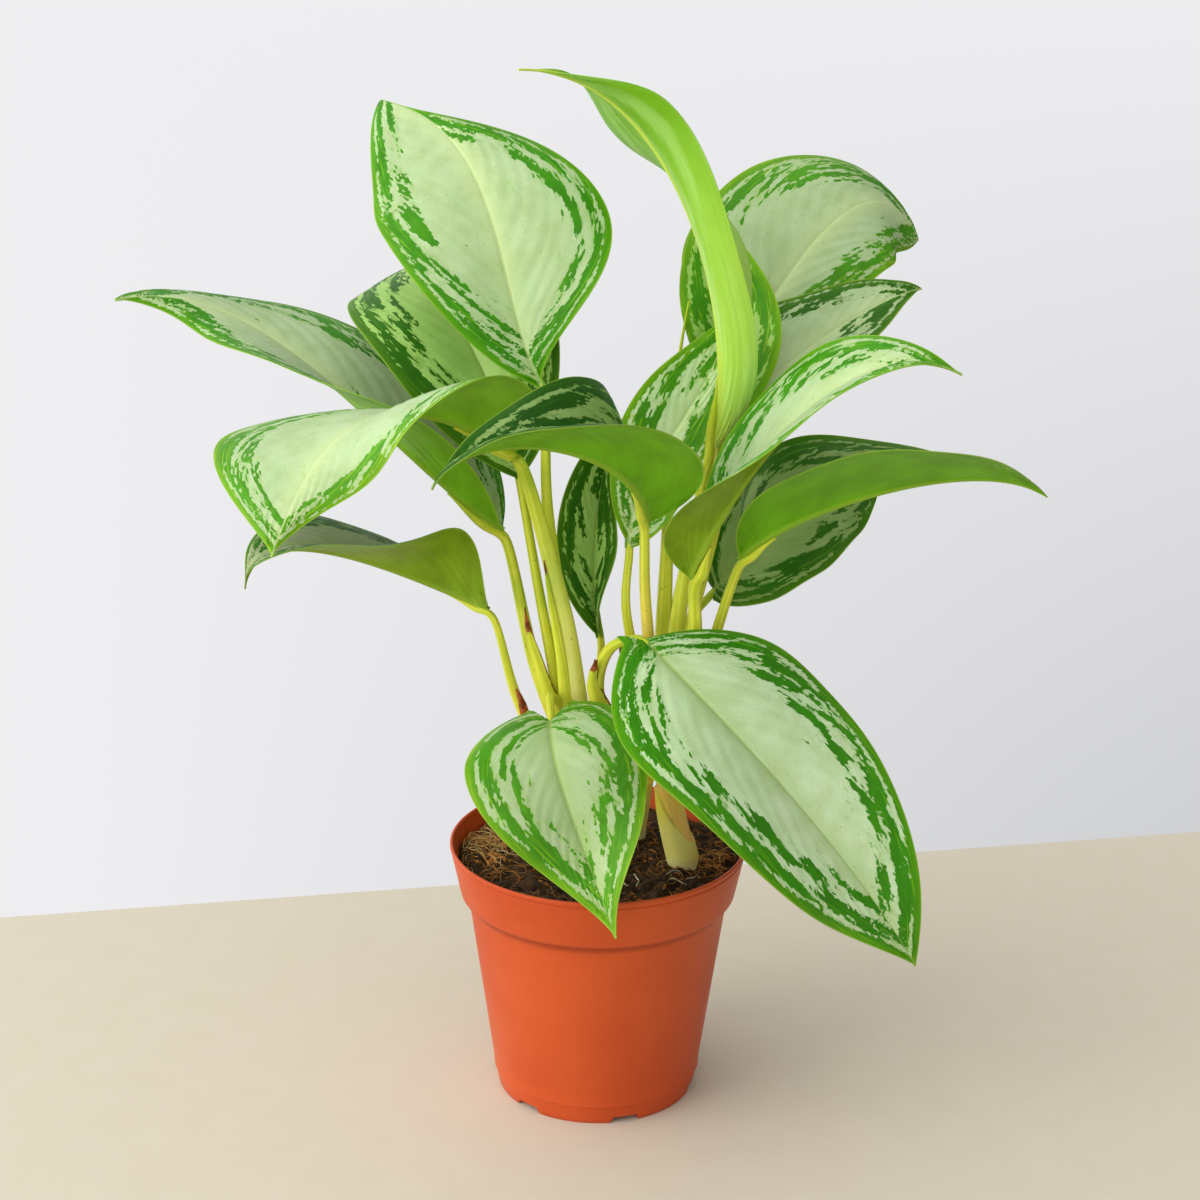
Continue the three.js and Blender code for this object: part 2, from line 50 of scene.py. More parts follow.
Point = tuple[float, float, float]
Colour = tuple[float, float, float, float]
Socket = bpy.types.NodeSocket
Value = Socket | float | tuple[float, ...]

MM = 0.001
BODY = "root"
SEED = 11

log = logging.getLogger("evergreen")


# ---- Numbers and curves ---------------------------------------------------------------------


def linear(code: str) -> Colour:
    """Turn a written screen colour into the linear one that shaders use.

    The screen curve is c / 12.92 up to 0.04045 and ((c + 0.055) / 1.055) ** 2.4 above it.

    Args:
        code: The colour as #RRGGBB.

    Returns:
        Red, green, blue and an alpha of 1.
    """
    screen = np.array([int(code[i : i + 2], 16) for i in (1, 3, 5)]) / 255
    values = np.where(screen <= 0.04045, screen / 12.92, ((screen + 0.055) / 1.055) ** 2.4)
    return (*values.tolist(), 1.0)


def unit(vectors: Array) -> Array:
    """Scale each row to length 1."""
    return vectors / np.maximum(np.linalg.norm(vectors, axis=-1, keepdims=True), 1e-12)


def smooth(low: float, high: float, x: Array) -> Array:
    """Go from 0 at low to 1 at high as 3k^2 - 2k^3."""
    k = np.clip((x - low) / (high - low), 0, 1)
    return k * k * (3 - 2 * k)


def along(stations: list | tuple | Array, t: Array) -> Array:
    """Read evenly spaced stations on the smooth Catmull-Rom curve through them.

    Args:
        stations: Numbers or points, spaced evenly from t = 0 to t = 1.
        t: Where to read them.

    Returns:
        One number or point for each t.
    """
    values = np.asarray(stations, float)
    last = len(values) - 1
    x = np.clip(t, 0, 1) * last
    i = np.minimum(x.astype(int), last - 1)
    f = x - i
    if values.ndim > 1:
        f = f[..., None]
    a, b, c, d = (values[np.clip(i + k, 0, last)] for k in (-1, 0, 1, 2))
    return 0.5 * (2 * b + (c - a) * f + (2 * a - 5 * b + 4 * c - d) * f**2 + (3 * (b - c) + d - a) * f**3)


def cubic(points: tuple[Point, ...], t: Array) -> Array:
    """Follow the cubic through four points at t = 0, 1/3, 2/3 and 1 (Lagrange weights).

    Args:
        points: The four points.
        t: Where to read it.

    Returns:
        One point for each t.
    """
    u, v, w = t - 1 / 3, t - 2 / 3, t - 1
    weights = np.stack([-4.5 * u * v * w, 13.5 * t * v * w, -13.5 * t * u * w, 4.5 * t * u * v], -1)
    return weights @ np.asarray(points, float)


def cubic_direction(points: tuple[Point, ...], t: Array) -> Array:
    """Give the unit direction of that cubic, from two points a short step apart."""
    step = 1e-3
    return unit(cubic(points, np.minimum(t + step, 1)) - cubic(points, np.maximum(t - step, 0)))


def bend(fold: Array, curl: Array, share: Array) -> tuple[Array, Array]:
    """Follow a strip that starts at the angle fold and turns steadily by curl over its whole width.

    Out is the integral of cos(fold + curl s) and rise that of sin(fold + curl s), from 0 to share.

    Args:
        fold: Start angle in radians.
        curl: Whole turn in radians.
        share: How much of the width has been covered, from 0 to 1.

    Returns:
        How far out and how far up the strip has got, as shares of its width.
    """
    straight = np.abs(curl) < 1e-3
    turn = np.where(straight, 1.0, curl)
    end = fold + turn * share
    out = np.where(straight, share * np.cos(fold), (np.sin(end) - np.sin(fold)) / turn)
    rise = np.where(straight, share * np.sin(fold), (np.cos(fold) - np.cos(end)) / turn)
    return out, rise


def smooth_path(points: list[Point] | Array, steps: int) -> Array:
    """Run a centripetal Catmull-Rom curve through the points and space it evenly by length.

    Args:
        points: The points it passes through.
        steps: How many equal steps to cut it into.

    Returns:
        steps + 1 points.
    """
    p = np.asarray(points, float)
    p = np.vstack([2 * p[0] - p[1], p, 2 * p[-1] - p[-2]])
    gap = np.maximum(np.sqrt(np.linalg.norm(np.diff(p, axis=0), axis=1)), 1e-4)[:, None]
    a, b, c, d = p[:-3], p[1:-2], p[2:-1], p[3:]
    g0, g1, g2 = gap[:-2], gap[1:-1], gap[2:]
    start = ((b - a) / g0 - (c - a) / (g0 + g1) + (c - b) / g1) * g1
    end = ((c - b) / g1 - (d - b) / (g1 + g2) + (d - c) / g2) * g1
    u = np.linspace(0, 1, 33)[None, :, None]
    third, fourth = -3 * b + 3 * c - 2 * start - end, 2 * b - 2 * c + start + end
    fine = b[:, None] + start[:, None] * u + third[:, None] * u**2 + fourth[:, None] * u**3
    fine = np.vstack([fine[:, :-1].reshape(-1, 3), p[-2]])
    run = np.concatenate([[0], np.cumsum(np.linalg.norm(np.diff(fine, axis=0), axis=1))])
    even = np.linspace(0, run[-1], steps + 1)
    return np.stack([np.interp(even, run, fine[:, k]) for k in range(3)], -1)


# ---- Meshes ---------------------------------------------------------------------------------


@dataclass
class Skin:
    """Vertices in millimetres with their faces, gathered before they become one mesh.

    Attributes:
        points: The vertices.
        quads: Four-sided faces, by vertex number.
        triangles: Three-sided faces, by vertex number.
        quad_finish: The material number of each quad.
        triangle_finish: The material number of each triangle.
        marks: Named values at the vertices, three each, for the materials to read.
    """

    points: Array
    quads: Array
    triangles: Array = field(default_factory=lambda: np.zeros((0, 3), int))
    quad_finish: Array | None = None
    triangle_finish: Array | None = None
    marks: dict[str, Array] = field(default_factory=dict)

    def finishes(self) -> Array:
        """List the material number of every face.

        Returns:
            The quads' numbers and then the triangles'.
        """
        quads = np.zeros(len(self.quads), int) if self.quad_finish is None else self.quad_finish
        rest = np.zeros(len(self.triangles), int) if self.triangle_finish is None else self.triangle_finish
        return np.concatenate([quads, rest])


def join(skins: list[Skin]) -> Skin:
    """Put several skins into one, each keeping its own faces.

    Args:
        skins: Skins that carry the same marks.

    Returns:
        One skin.
    """
    shifts = np.cumsum([0] + [len(s.points) for s in skins[:-1]])
    faces = [s.finishes() for s in skins]
    return Skin(
        np.vstack([s.points for s in skins]),
        np.vstack([s.quads + k for s, k in zip(skins, shifts)]),
        np.vstack([s.triangles + k for s, k in zip(skins, shifts)]),
        np.concatenate([f[: len(s.quads)] for s, f in zip(skins, faces)]),
        np.concatenate([f[len(s.quads) :] for s, f in zip(skins, faces)]),
        {name: np.vstack([s.marks[name] for s in skins]) for name in skins[0].marks},
    )


def grid_quads(rows: int, columns: int, closed: bool = False) -> Array:
    """Number the quads of a grid of rows by columns vertices.

    Args:
        rows: Rows of vertices.
        columns: Vertices in a row.
        closed: Whether the last column joins the first.

    Returns:
        One row of four vertex numbers for each quad.
    """
    i = np.arange(rows - 1)[:, None] * columns
    j = np.arange(columns if closed else columns - 1)[None, :]
    k = (j + 1) % columns
    return np.stack([i + j, i + k, i + columns + k, i + columns + j], -1).reshape(-1, 4)


def sheet(top: Array, low: Array, marks: dict[str, Array], lower: int = 1) -> Skin:
    """Close two facing grids of vertices into a thin solid.

    Args:
        top: The upper side's vertices, rows by columns.
        low: The lower side's, in the same places.
        marks: Named values at the grid's vertices, the same for both sides.
        lower: The material number of the lower side.

    Returns:
        A closed skin with the upper side and the rim as material 0.
    """
    rows, columns = top.shape[:2]
    count = rows * columns
    faces = grid_quads(rows, columns)
    grid = np.arange(count).reshape(rows, columns)
    rim = np.concatenate([grid[0, :-1], grid[:-1, -1], grid[-1, :0:-1], grid[:0:-1, 0]])
    after = np.roll(rim, -1)
    walls = np.stack([rim, rim + count, after + count, after], -1)
    finish = np.concatenate([np.zeros(len(faces)), np.full(len(faces), lower), np.zeros(len(walls))])
    both = {name: np.tile(values.reshape(-1, 3), (2, 1)) for name, values in marks.items()}
    points = np.vstack([top.reshape(-1, 3), low.reshape(-1, 3)])
    quads = np.vstack([faces, faces[:, ::-1] + count, walls])
    return Skin(points, quads, quad_finish=finish.astype(int), marks=both)


def fans(sides: int, last: int, centres: int) -> Array:
    """Number the triangles that close both ends of a stack of rings.

    Args:
        sides: Vertices in a ring.
        last: The first vertex of the last ring.
        centres: The first ring's centre vertex, with the last ring's just after it.

    Returns:
        One row of three vertex numbers for each triangle.
    """
    k = np.arange(sides)
    n = (k + 1) % sides
    first = np.stack([np.full(sides, centres), n, k], -1)
    return np.vstack([first, np.stack([np.full(sides, centres + 1), last + k, last + n], -1)])


def tube(path: Array, radius: Array, side: Array, outline: Array | None = None, sides: int = 24) -> Skin:
    """Carry a round section along a path and close both ends with a fan.

    A point is path + radius * outline * (side cos a + (tangent x side) sin a), a from 0 to a full turn.

    Args:
        path: Points along the middle.
        radius: Radius at each of them.
        side: The direction at each point, or one for all, in which the turn starts.
        outline: Factor on the radius at each point and turn, or None for a round section.
        sides: Vertices in a ring.

    Returns:
        A closed skin, marked with the share of the length, the share of the turn and the radius.
    """
    rings = len(path)
    tangent = unit(np.gradient(path, axis=0))
    first = np.broadcast_to(side, path.shape)
    first = unit(first - (first * tangent).sum(-1, keepdims=True) * tangent)
    second = np.cross(tangent, first)
    turn = np.arange(sides) / sides
    angle = 2 * np.pi * turn[None, :, None]
    reach = radius[:, None] * (1 if outline is None else outline)
    reach = np.broadcast_to(reach, (rings, sides))
    turned = first[:, None] * np.cos(angle) + second[:, None] * np.sin(angle)
    points = path[:, None] + reach[..., None] * turned
    share = np.linspace(0, 1, rings)
    mark = np.stack(np.broadcast_arrays(share[:, None], turn[None, :], reach), -1).reshape(-1, 3)
    ends = np.array([[0.0, 0.0, radius[0]], [1.0, 0.0, radius[-1]]])
    return Skin(
        np.vstack([points.reshape(-1, 3), path[0], path[-1]]),
        grid_quads(rings, sides, True),
        fans(sides, (rings - 1) * sides, rings * sides),
        marks={"stem_place": np.vstack([mark, ends])},
    )


class Slot(Enum):
    """Material slot names."""

    POT = "pot"
    SOIL = "soil"
    STEM = "stem"
    LEAF = "leaf"
    YOUNG_LEAF = "young_leaf"


def add_piece(
    name: str,
    skin: Skin,
    materials: list[bpy.types.Material],
    nodes: tuple[str, ...] = (),
    crease: float = 70,
) -> bpy.types.Object:
    """Make a mesh object in place, ride it on the body and hide the CAD nodes that it replaces.

    Args:
        name: The piece's name.
        skin: Its vertices and faces, in millimetres.
        materials: Its finishes, in the order that the faces number them.
        nodes: CAD nodes that it replaces.
        crease: Edges sharper than this many degrees stay sharp.

    Returns:
        The object.
    """
    mesh = bpy.data.meshes.new(name)
    corners = np.concatenate([skin.quads.ravel(), skin.triangles.ravel()]).astype(np.int32)
    sizes = np.concatenate([np.full(len(skin.quads), 4), np.full(len(skin.triangles), 3)])
    starts = np.concatenate([[0], np.cumsum(sizes)[:-1]]).astype(np.int32)
    mesh.vertices.add(len(skin.points))
    mesh.vertices.foreach_set("co", (skin.points * MM).astype(np.float32).ravel())
    mesh.loops.add(len(corners))
    mesh.loops.foreach_set("vertex_index", corners)
    mesh.polygons.add(len(sizes))
    mesh.polygons.foreach_set("loop_start", starts)
    mesh.polygons.foreach_set("material_index", skin.finishes().astype(np.int32))
    mesh.polygons.foreach_set("use_smooth", np.ones(len(sizes), bool))
    for title, values in skin.marks.items():
        mark = mesh.attributes.new(title, "FLOAT_VECTOR", "POINT")
        mark.data.foreach_set("vector", values.astype(np.float32).ravel())
    mesh.update(calc_edges=True)
    mesh.validate()
    mesh.set_sharp_from_angle(angle=math.radians(crease))
    for material in materials:
        mesh.materials.append(material)
    piece = bpy.data.objects.new(name, mesh)
    bpy.context.scene.collection.objects.link(piece)
    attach(piece, BODY)
    if nodes:
        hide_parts(*nodes)
    log.info("%s: %d faces", name, len(sizes))
    return piece


# ---- Shader nodes ---------------------------------------------------------------------------


class Graph:
    """A tree of shader nodes, each made and joined in one call."""

    def __init__(self, tree: bpy.types.NodeTree) -> None:
        """Start with the tree empty."""
        self.tree = tree
        self.tree.nodes.clear()

    def node(self, kind: str, values: tuple[Value, ...] = (), **settings: object) -> bpy.types.Node:
        """Add a node.

        Args:
            kind: Its type.
            values: What its first sockets take, in order.
            settings: Its own settings.

        Returns:
            The node.
        """
        made = self.tree.nodes.new(kind)
        for key, setting in settings.items():
            setattr(made, key, setting)
        for socket, value in zip(made.inputs, values):
            self.feed(socket, value)
        return made

    def feed(self, socket: Socket, value: Value) -> None:
        """Join a socket to another one, or set its own value.

        Args:
            socket: The socket to feed.
            value: A socket of another node, or a number or colour.
        """
        if isinstance(value, bpy.types.NodeSocket):
            self.tree.links.new(value, socket)
        else:
            socket.default_value = value

    def fill(self, made: bpy.types.Node, **values: Value) -> None:
        """Feed a node's sockets by their names, with underscores for spaces."""
        for title, value in values.items():
            self.feed(made.inputs[title.replace("_", " ")], value)

    def parts(self, vector: Socket) -> tuple[Socket, ...]:
        """Split a vector into its three values."""
        return tuple(self.node("ShaderNodeSeparateXYZ", (vector,)).outputs)

    def sum(self, operation: str, a: Value, b: Value = 0.0, c: Value = 0.0) -> Socket:
        """Work out one sum, such as MAXIMUM or SINE."""
        return self.node("ShaderNodeMath", (a, b, c), operation=operation).outputs[0]

    def plus(self, a: Value, b: Value) -> Socket:
        """Work out a + b."""
        return self.sum("ADD", a, b)

    def minus(self, a: Value, b: Value) -> Socket:
        """Work out a - b."""
        return self.sum("SUBTRACT", a, b)

    def times(self, a: Value, b: Value) -> Socket:
        """Work out a * b."""
        return self.sum("MULTIPLY", a, b)

    def ratio(self, a: Value, b: Value) -> Socket:
        """Work out a / b."""
        return self.sum("DIVIDE", a, b)

    def scale_add(self, a: Value, by: Value, onto: Value) -> Socket:
        """Work out a * by + onto."""
        return self.sum("MULTIPLY_ADD", a, by, onto)

    def vector(self, x: Value, y: Value, z: Value = 0.0) -> Socket:
        """Put three values into a vector."""
        return self.node("ShaderNodeCombineXYZ", (x, y, z)).outputs[0]

    def scaled(self, vector: Socket, by: Point) -> Socket:
        """Multiply a vector by another, part by part."""
        return self.node("ShaderNodeVectorMath", (vector, by), operation="MULTIPLY").outputs[0]

    def span(self, x: Value, low: Value, high: Value, to_low: Value = 0.0, to_high: Value = 1.0) -> Socket:
        """Carry low..high smoothly to to_low..to_high, and hold the ends."""
        values = (x, low, high, to_low, to_high)
        return self.node("ShaderNodeMapRange", values, interpolation_type="SMOOTHSTEP").outputs[0]

    def noise(self, vector: Socket, scale: float = 1.0, detail: float = 2.0, rough: float = 0.5) -> Socket:
        """Give smooth noise of about 0.5.

        Args:
            vector: Where to read it.
            scale: Factor on that place.
            detail: How many finer layers it has.
            rough: How strong each layer is next to the one before.

        Returns:
            The noise.
        """
        made = self.node("ShaderNodeTexNoise", noise_dimensions="3D")
        self.fill(made, Vector=vector, Scale=scale, Detail=detail, Roughness=rough)
        return made.outputs["Fac"]

    def ramp(self, x: Socket, stops: tuple[tuple[float, float], ...]) -> Socket:
        """Read a curve of straight pieces.

        Args:
            x: Where to read it.
            stops: Its (place, value) corners, all from 0 to 1.

        Returns:
            The curve's value.
        """
        made = self.node("ShaderNodeValToRGB")
        row = made.color_ramp.elements
        while len(row) < len(stops):
            row.new(0.5)
        for element, (place, value) in zip(row, stops):
            element.position = place
            element.color = (value, value, value, 1)
        self.feed(made.inputs[0], x)
        return made.outputs[0]

    def mix(self, share: Value, a: Value, b: Value) -> Socket:
        """Mix colour a with a share of colour b.

        Args:
            share: From 0, all a, to 1, all b.
            a: The first colour.
            b: The second colour.

        Returns:
            The mixed colour.
        """
        made = self.node("ShaderNodeMix", data_type="RGBA", clamp_factor=True)
        # The node's sockets 0, 6 and 7 are the ones that colours use.
        for place, value in ((0, share), (6, a), (7, b)):
            self.feed(made.inputs[place], value)
        return made.outputs[2]

    def cells(self, vector: Socket) -> tuple[Socket, Socket, Socket]:
        """Cut the plane into irregular cells of a size of about 1.

        Args:
            vector: The point on the plane.

        Returns:
            The middle of the cell that it is in, its distance from it and the cell's random number.
        """
        made = self.node("ShaderNodeTexVoronoi", voronoi_dimensions="2D", feature="F1")
        self.fill(made, Vector=vector, Scale=1.0)
        return made.outputs["Position"], made.outputs["Distance"], self.parts(made.outputs["Color"])[0]


class Shader(Graph):
    """One material's nodes."""

    def __init__(self, name: str) -> None:
        """Start an empty material of that name."""
        self.material = bpy.data.materials.new(name)
        self.material.use_nodes = True
        super().__init__(self.material.node_tree)

    def mark(self, name: str) -> tuple[Socket, ...]:
        """Read the three values of a mark that the mesh carries."""
        return self.parts(self.node("ShaderNodeAttribute", attribute_name=name).outputs["Vector"])

    def place(self) -> Socket:
        """Give the point on the piece, in metres."""
        return self.node("ShaderNodeTexCoord").outputs["Object"]

    def bump(self, height: Socket, depth: float) -> Socket:
        """Raise the surface.

        Args:
            height: Where it rises, from 0 to 1.
            depth: How far, in millimetres.

        Returns:
            The bumped normal.
        """
        made = self.node("ShaderNodeBump")
        self.fill(made, Strength=1.0, Distance=depth * MM, Height=height)
        return made.outputs[0]

    def finish(self, colour: Value, roughness: Value, **others: Value) -> bpy.types.Material:
        """Close the material with a Principled surface.

        Args:
            colour: Base colour.
            roughness: Roughness.
            others: What its other sockets take, with underscores for spaces.

        Returns:
            The material.
        """
        made = self.node("ShaderNodeBsdfPrincipled")
        self.fill(made, Base_Color=colour, Roughness=roughness, **others)
        self.node("ShaderNodeOutputMaterial", (made.outputs[0],))
        return self.material


# ---- Leaf finishes --------------------------------------------------------------------------


class Tone(str, Enum):
    """The plant's colours, by name, each holding the light or shade where it is used: lit and shaded copies of
    the silvers, greens and lower sides, painted light and shade.
    """

    PALE_SILVER = "#CAE2B7"
    SILVER = "#B0C89A"
    FRESH_SILVER = "#A4CC70"
    GREY_SILVER = "#AEB19C"
    SHADED_SILVER = "#8CAA66"
    LIT_GREEN = "#48931A"
    GREEN = "#378810"
    SHADED_GREEN = "#2A690B"
    DEEPLY_SHADED_GREEN = "#134F08"
    LIT_UNDER = "#80BC22"
    OLIVE_UNDER = "#82A41E"
    GREEN_UNDER = "#6CAC14"
    PLAIN_UNDER = "#5C8A1E"
    PALE_RIB = "#CCDE9C"
    GREEN_RIB = "#98B45E"
    NEW_LEAF = "#70AA1E"
    NEW_RIB = "#C6DC58"


@dataclass(frozen=True)
class LeafLook:
    """The colours of one leaf, as they are in the light that falls on it.

    Attributes:
        silver: The pale middle of the upper side.
        green: The dark streaks.
        under: The plain lower side.
        rib: The midrib's line on the upper side.
        reach: How far in from the margin the streaks go on the left and right half, in millimetres.
        seed: Shifts the pattern.
        orange: How orange its stalk is towards its foot.
    """

    silver: Tone
    green: Tone
    under: Tone
    rib: Tone
    reach: tuple[float, float]
    seed: float
    orange: float = 0.0


@dataclass(frozen=True)
class Flow:
    """Where a point lies on its blade, as the mesh's marks leaf_flow and leaf_place say.

    Attributes:
        margin: Millimetres in from the margin.
        run: Millimetres from the base.
        width: The half-width there.
        share: Share of the length.
        side: Signed share of the half-width, below 0 on the left.
        length: The blade's length.
    """

    margin: Socket
    run: Socket
    width: Socket
    share: Socket
    side: Socket
    length: Socket

    @classmethod
    def read(cls, s: Shader) -> "Flow":
        """Read both marks."""
        return cls(*s.mark("leaf_flow"), *s.mark("leaf_place"))

    def flat(self, s: Shader) -> Socket:
        """Give the place on the blade laid flat, in millimetres, the two halves apart."""
        return s.vector(self.margin, self.run, s.times(self.side, 3.0))

    def from_rib(self, s: Shader) -> Socket:
        """Give the distance from the midrib."""
        return s.minus(self.width, self.margin)


def tint(code: str, red: float, green: float, blue: float) -> Colour:
    """Multiply a colour's linear red, green and blue by these factors, up to 1."""
    return (*(min(c * f, 1.0) for c, f in zip(linear(code), (red, green, blue))), 1.0)


@dataclass(frozen=True)
class LeafFinish:
    """A leaf's upper and lower finishes, which follow the flow of its veins.

    Attributes:
        look: The leaf's colours.
    """

    look: LeafLook

    VEIN_CURVE = 3.2  # how quickly side veins bend towards the tip
    VEIN_START = 0.03  # share of the half-width within which they no longer bend
    VEIN_PITCH = 0.13  # side veins to the millimetre, half of them counted
    SLANT = 0.22  # how far the streaks lean inward on their way to the base
    CELL_WIDTH = 0.85  # ragged steps in the streaks' edges, across and along, in millimetres
    CELL_LENGTH = 2.0
    CELL_LEAN = 0.3
    CELL_SHARE = 0.8  # how far a point follows the middle of its cell
    SEED_STEP = 20.0  # how far apart two leaves' patterns are read, and two halves'
    HALF_STEP = 40.0
    BROAD = (0.24, 0.045)  # broad and fine noise, across and along, in waves to the millimetre
    FINE = (0.3, 0.09)
    SWAY = 0.06  # the inner limit of the streaks sways, in waves to the millimetre, and how far
    SWAY_DEPTH = 2.6
    EDGE = "#A9C84A"
    KEEL = "#8FAE30"
    SPECK = "#6B5A2C"
    GLOSS = {
        "Specular_IOR_Level": 0.25,
        "Specular_Tint": (0.95, 1.0, 0.5, 1.0),
        "Subsurface_Weight": 0.06,
        "Subsurface_Scale": 0.001,
    }
    # Greenness, 0.5 being even, against the distance from the margin as a share of the reach.
    BANDS = (
        (0.0, 1.0), (0.1, 0.9), (0.15, 0.5), (0.19, 0.4), (0.24, 0.62), (0.38, 0.64),
        (0.47, 0.4), (0.54, 0.42), (0.62, 0.56), (0.74, 0.5), (0.86, 0.28), (1.0, 0.0),
    )

    def vein(self, s: Shader, margin: Value, run: Value, at: Flow) -> Socket:
        """Number the side veins by where they leave the midrib, in millimetres.

        A vein that leaves at q passes where run + length / VEIN_CURVE * ln(margin / width) = q.

        Args:
            s: The material.
            margin: Millimetres in from the margin.
            run: Millimetres from the base.
            at: The place on the blade, for its width and length.

        Returns:
            The number q.
        """
        share = s.sum("MAXIMUM", s.ratio(margin, at.width), self.VEIN_START)
        bent = s.times(s.sum("LOGARITHM", share, math.e), s.ratio(at.length, self.VEIN_CURVE))
        return s.plus(run, bent)

    def streaks(self, s: Shader, at: Flow) -> Socket:
        """Give how green the upper side is.

        The bands along the margin and two noises, broad ones that lean inward and fine ones along the side
        veins, are read at the middle of ragged cells, so that the streaks' edges step from vein to vein.

        Args:
            s: The material.
            at: The place on the blade.

        Returns:
            A number above 0 on the dark streaks and below 0 on the silver.
        """
        seed = self.SEED_STEP * self.look.seed
        half = s.times(s.sum("SIGN", at.side), self.HALF_STEP)
        leaning = s.scale_add(at.run, self.CELL_LEAN, at.margin)
        across = s.scale_add(leaning, 1 / self.CELL_WIDTH, half)
        cell, _, chance = s.cells(s.vector(across, s.scale_add(at.run, 1 / self.CELL_LENGTH, seed)))
        x, y, _ = s.parts(cell)
        on = s.times(s.minus(y, seed), self.CELL_LENGTH)
        stepped = s.scale_add(on, -self.CELL_LEAN, s.times(s.minus(x, half), self.CELL_WIDTH))
        followed = s.scale_add(at.margin, 1 - self.CELL_SHARE, s.times(stepped, self.CELL_SHARE))
        inward = s.sum("MAXIMUM", followed, 0.0)
        flow = s.scale_add(on, self.SLANT, inward)
        vein = self.vein(s, inward, on, at)
        broad = s.noise(s.vector(s.times(flow, self.BROAD[0]), s.scale_add(on, self.BROAD[1], seed), half))
        fine = s.noise(s.vector(s.times(vein, self.FINE[0]), s.scale_add(on, self.FINE[1], seed), half))
        sway = s.noise(s.vector(s.times(on, self.SWAY), seed, half), detail=1.0)
        left, right = self.look.reach
        reach = s.scale_add(s.sum("GREATER_THAN", at.side, 0.0), right - left, left)
        swayed = s.scale_add(sway, self.SWAY_DEPTH, s.minus(inward, self.SWAY_DEPTH / 2))
        reached = s.ratio(swayed, reach)
        # The noises grow stronger inward, so the margin's own band stays whole.
        bands = s.scale_add(s.ramp(reached, self.BANDS), 2.0, -1.0)
        bands = s.scale_add(s.minus(broad, 0.5), s.span(reached, 0.1, 0.5, 1.6, 3.6), bands)
        bands = s.scale_add(s.minus(chance, 0.5), s.span(reached, 0.1, 0.4, 0.15, 0.35), bands)
        return s.scale_add(s.minus(fine, 0.5), s.span(reached, 0.1, 0.4, 0.8, 1.4), bands)

    def silver(self, s: Shader, at: Flow) -> Socket:
        """Cloud the silver, with fine lines along the side veins and a yellower tone by the midrib.

        Args:
            s: The material.
            at: The place on the blade.

        Returns:
            The colour.
        """
        look, flat = self.look, at.flat(s)
        vein = self.vein(s, at.margin, at.run, at)
        clouds = s.noise(flat, 0.09, 3.0)
        grain = s.noise(s.scaled(flat, (1.6, 0.6, 1)), detail=3.0)
        stripes = s.noise(s.vector(s.times(vein, 0.09), s.times(at.share, 3.0), look.seed))
        lines = s.span(s.sum("PINGPONG", s.times(vein, self.VEIN_PITCH), 0.5), 0.0, 0.1, 1.0, 0.0)
        colour = s.mix(s.span(clouds, 0.35, 0.7), linear(look.silver), tint(look.silver, 0.84, 0.86, 0.74))
        colour = s.mix(s.span(stripes, 0.4, 0.7, 0.0, 0.5), colour, tint(look.silver, 0.82, 0.9, 0.8))
        colour = s.mix(s.times(lines, 0.16), colour, tint(look.silver, 1.12, 1.12, 1.12))
        colour = s.mix(s.span(grain, 0.45, 0.75, 0.0, 0.35), colour, tint(look.silver, 0.87, 0.87, 0.78))
        return s.mix(s.span(at.from_rib(s), 0.0, 9.0, 0.35, 0.0), colour, linear(look.rib))

    def green(self, s: Shader, at: Flow) -> Socket:
        """Make the streaks' green, yellower towards the margin and threaded with fine yellow-green lines.

        Args:
            s: The material.
            at: The place on the blade.

        Returns:
            The colour.
        """
        dark = self.look.green
        clouds = s.noise(at.flat(s), 0.07)
        drift = s.times(s.scale_add(at.run, 0.14, at.margin), 1.5)
        threads = s.noise(s.vector(drift, s.times(at.run, 0.045), at.side), detail=1.5)
        thread = s.times(s.span(threads, 0.56, 0.66), s.span(at.margin, 5.0, 12.0, 0.75, 0.1))
        colour = s.mix(s.span(clouds, 0.35, 0.65, 0.6, 0.0), linear(dark), tint(dark, 0.6, 0.66, 0.7))
        colour = s.mix(s.span(at.margin, 0.0, 5.5, 0.7, 0.0), colour, tint(dark, 2.6, 1.3, 0.7))
        return s.mix(thread, colour, tint(dark, 4.2, 1.75, 1.4))

    def specks(self, s: Shader, at: Flow, colour: Socket) -> Socket:
        """Put a small brown speck in the middle of a few wide cells.

        Args:
            s: The material.
            at: The place on the blade.
            colour: The colour under them.

        Returns:
            The colour with the specks.
        """
        middle, away, _ = s.cells(s.scaled(at.flat(s), (0.17, 0.17, 0)))
        chosen = s.span(s.noise(s.scaled(middle, (7.7, 7.7, 1)), detail=0.0), 0.55, 0.6)
        return s.mix(s.times(s.span(away, 0.02, 0.06, 0.6, 0.0), chosen), colour, linear(self.SPECK))

    def rib_line(self, s: Shader, at: Flow, width: Value, edge: float, strength: float) -> Socket:
        """Give the midrib's line, which thins out towards the tip.

        Args:
            s: The material.
            at: The place on the blade.
            width: Half its width in millimetres.
            edge: The share of that at which it starts to fade.
            strength: How strong it is.

        Returns:
            Its share of the colour.
        """
        return s.span(s.ratio(at.from_rib(s), width), edge, 1.0, strength, 0.0)

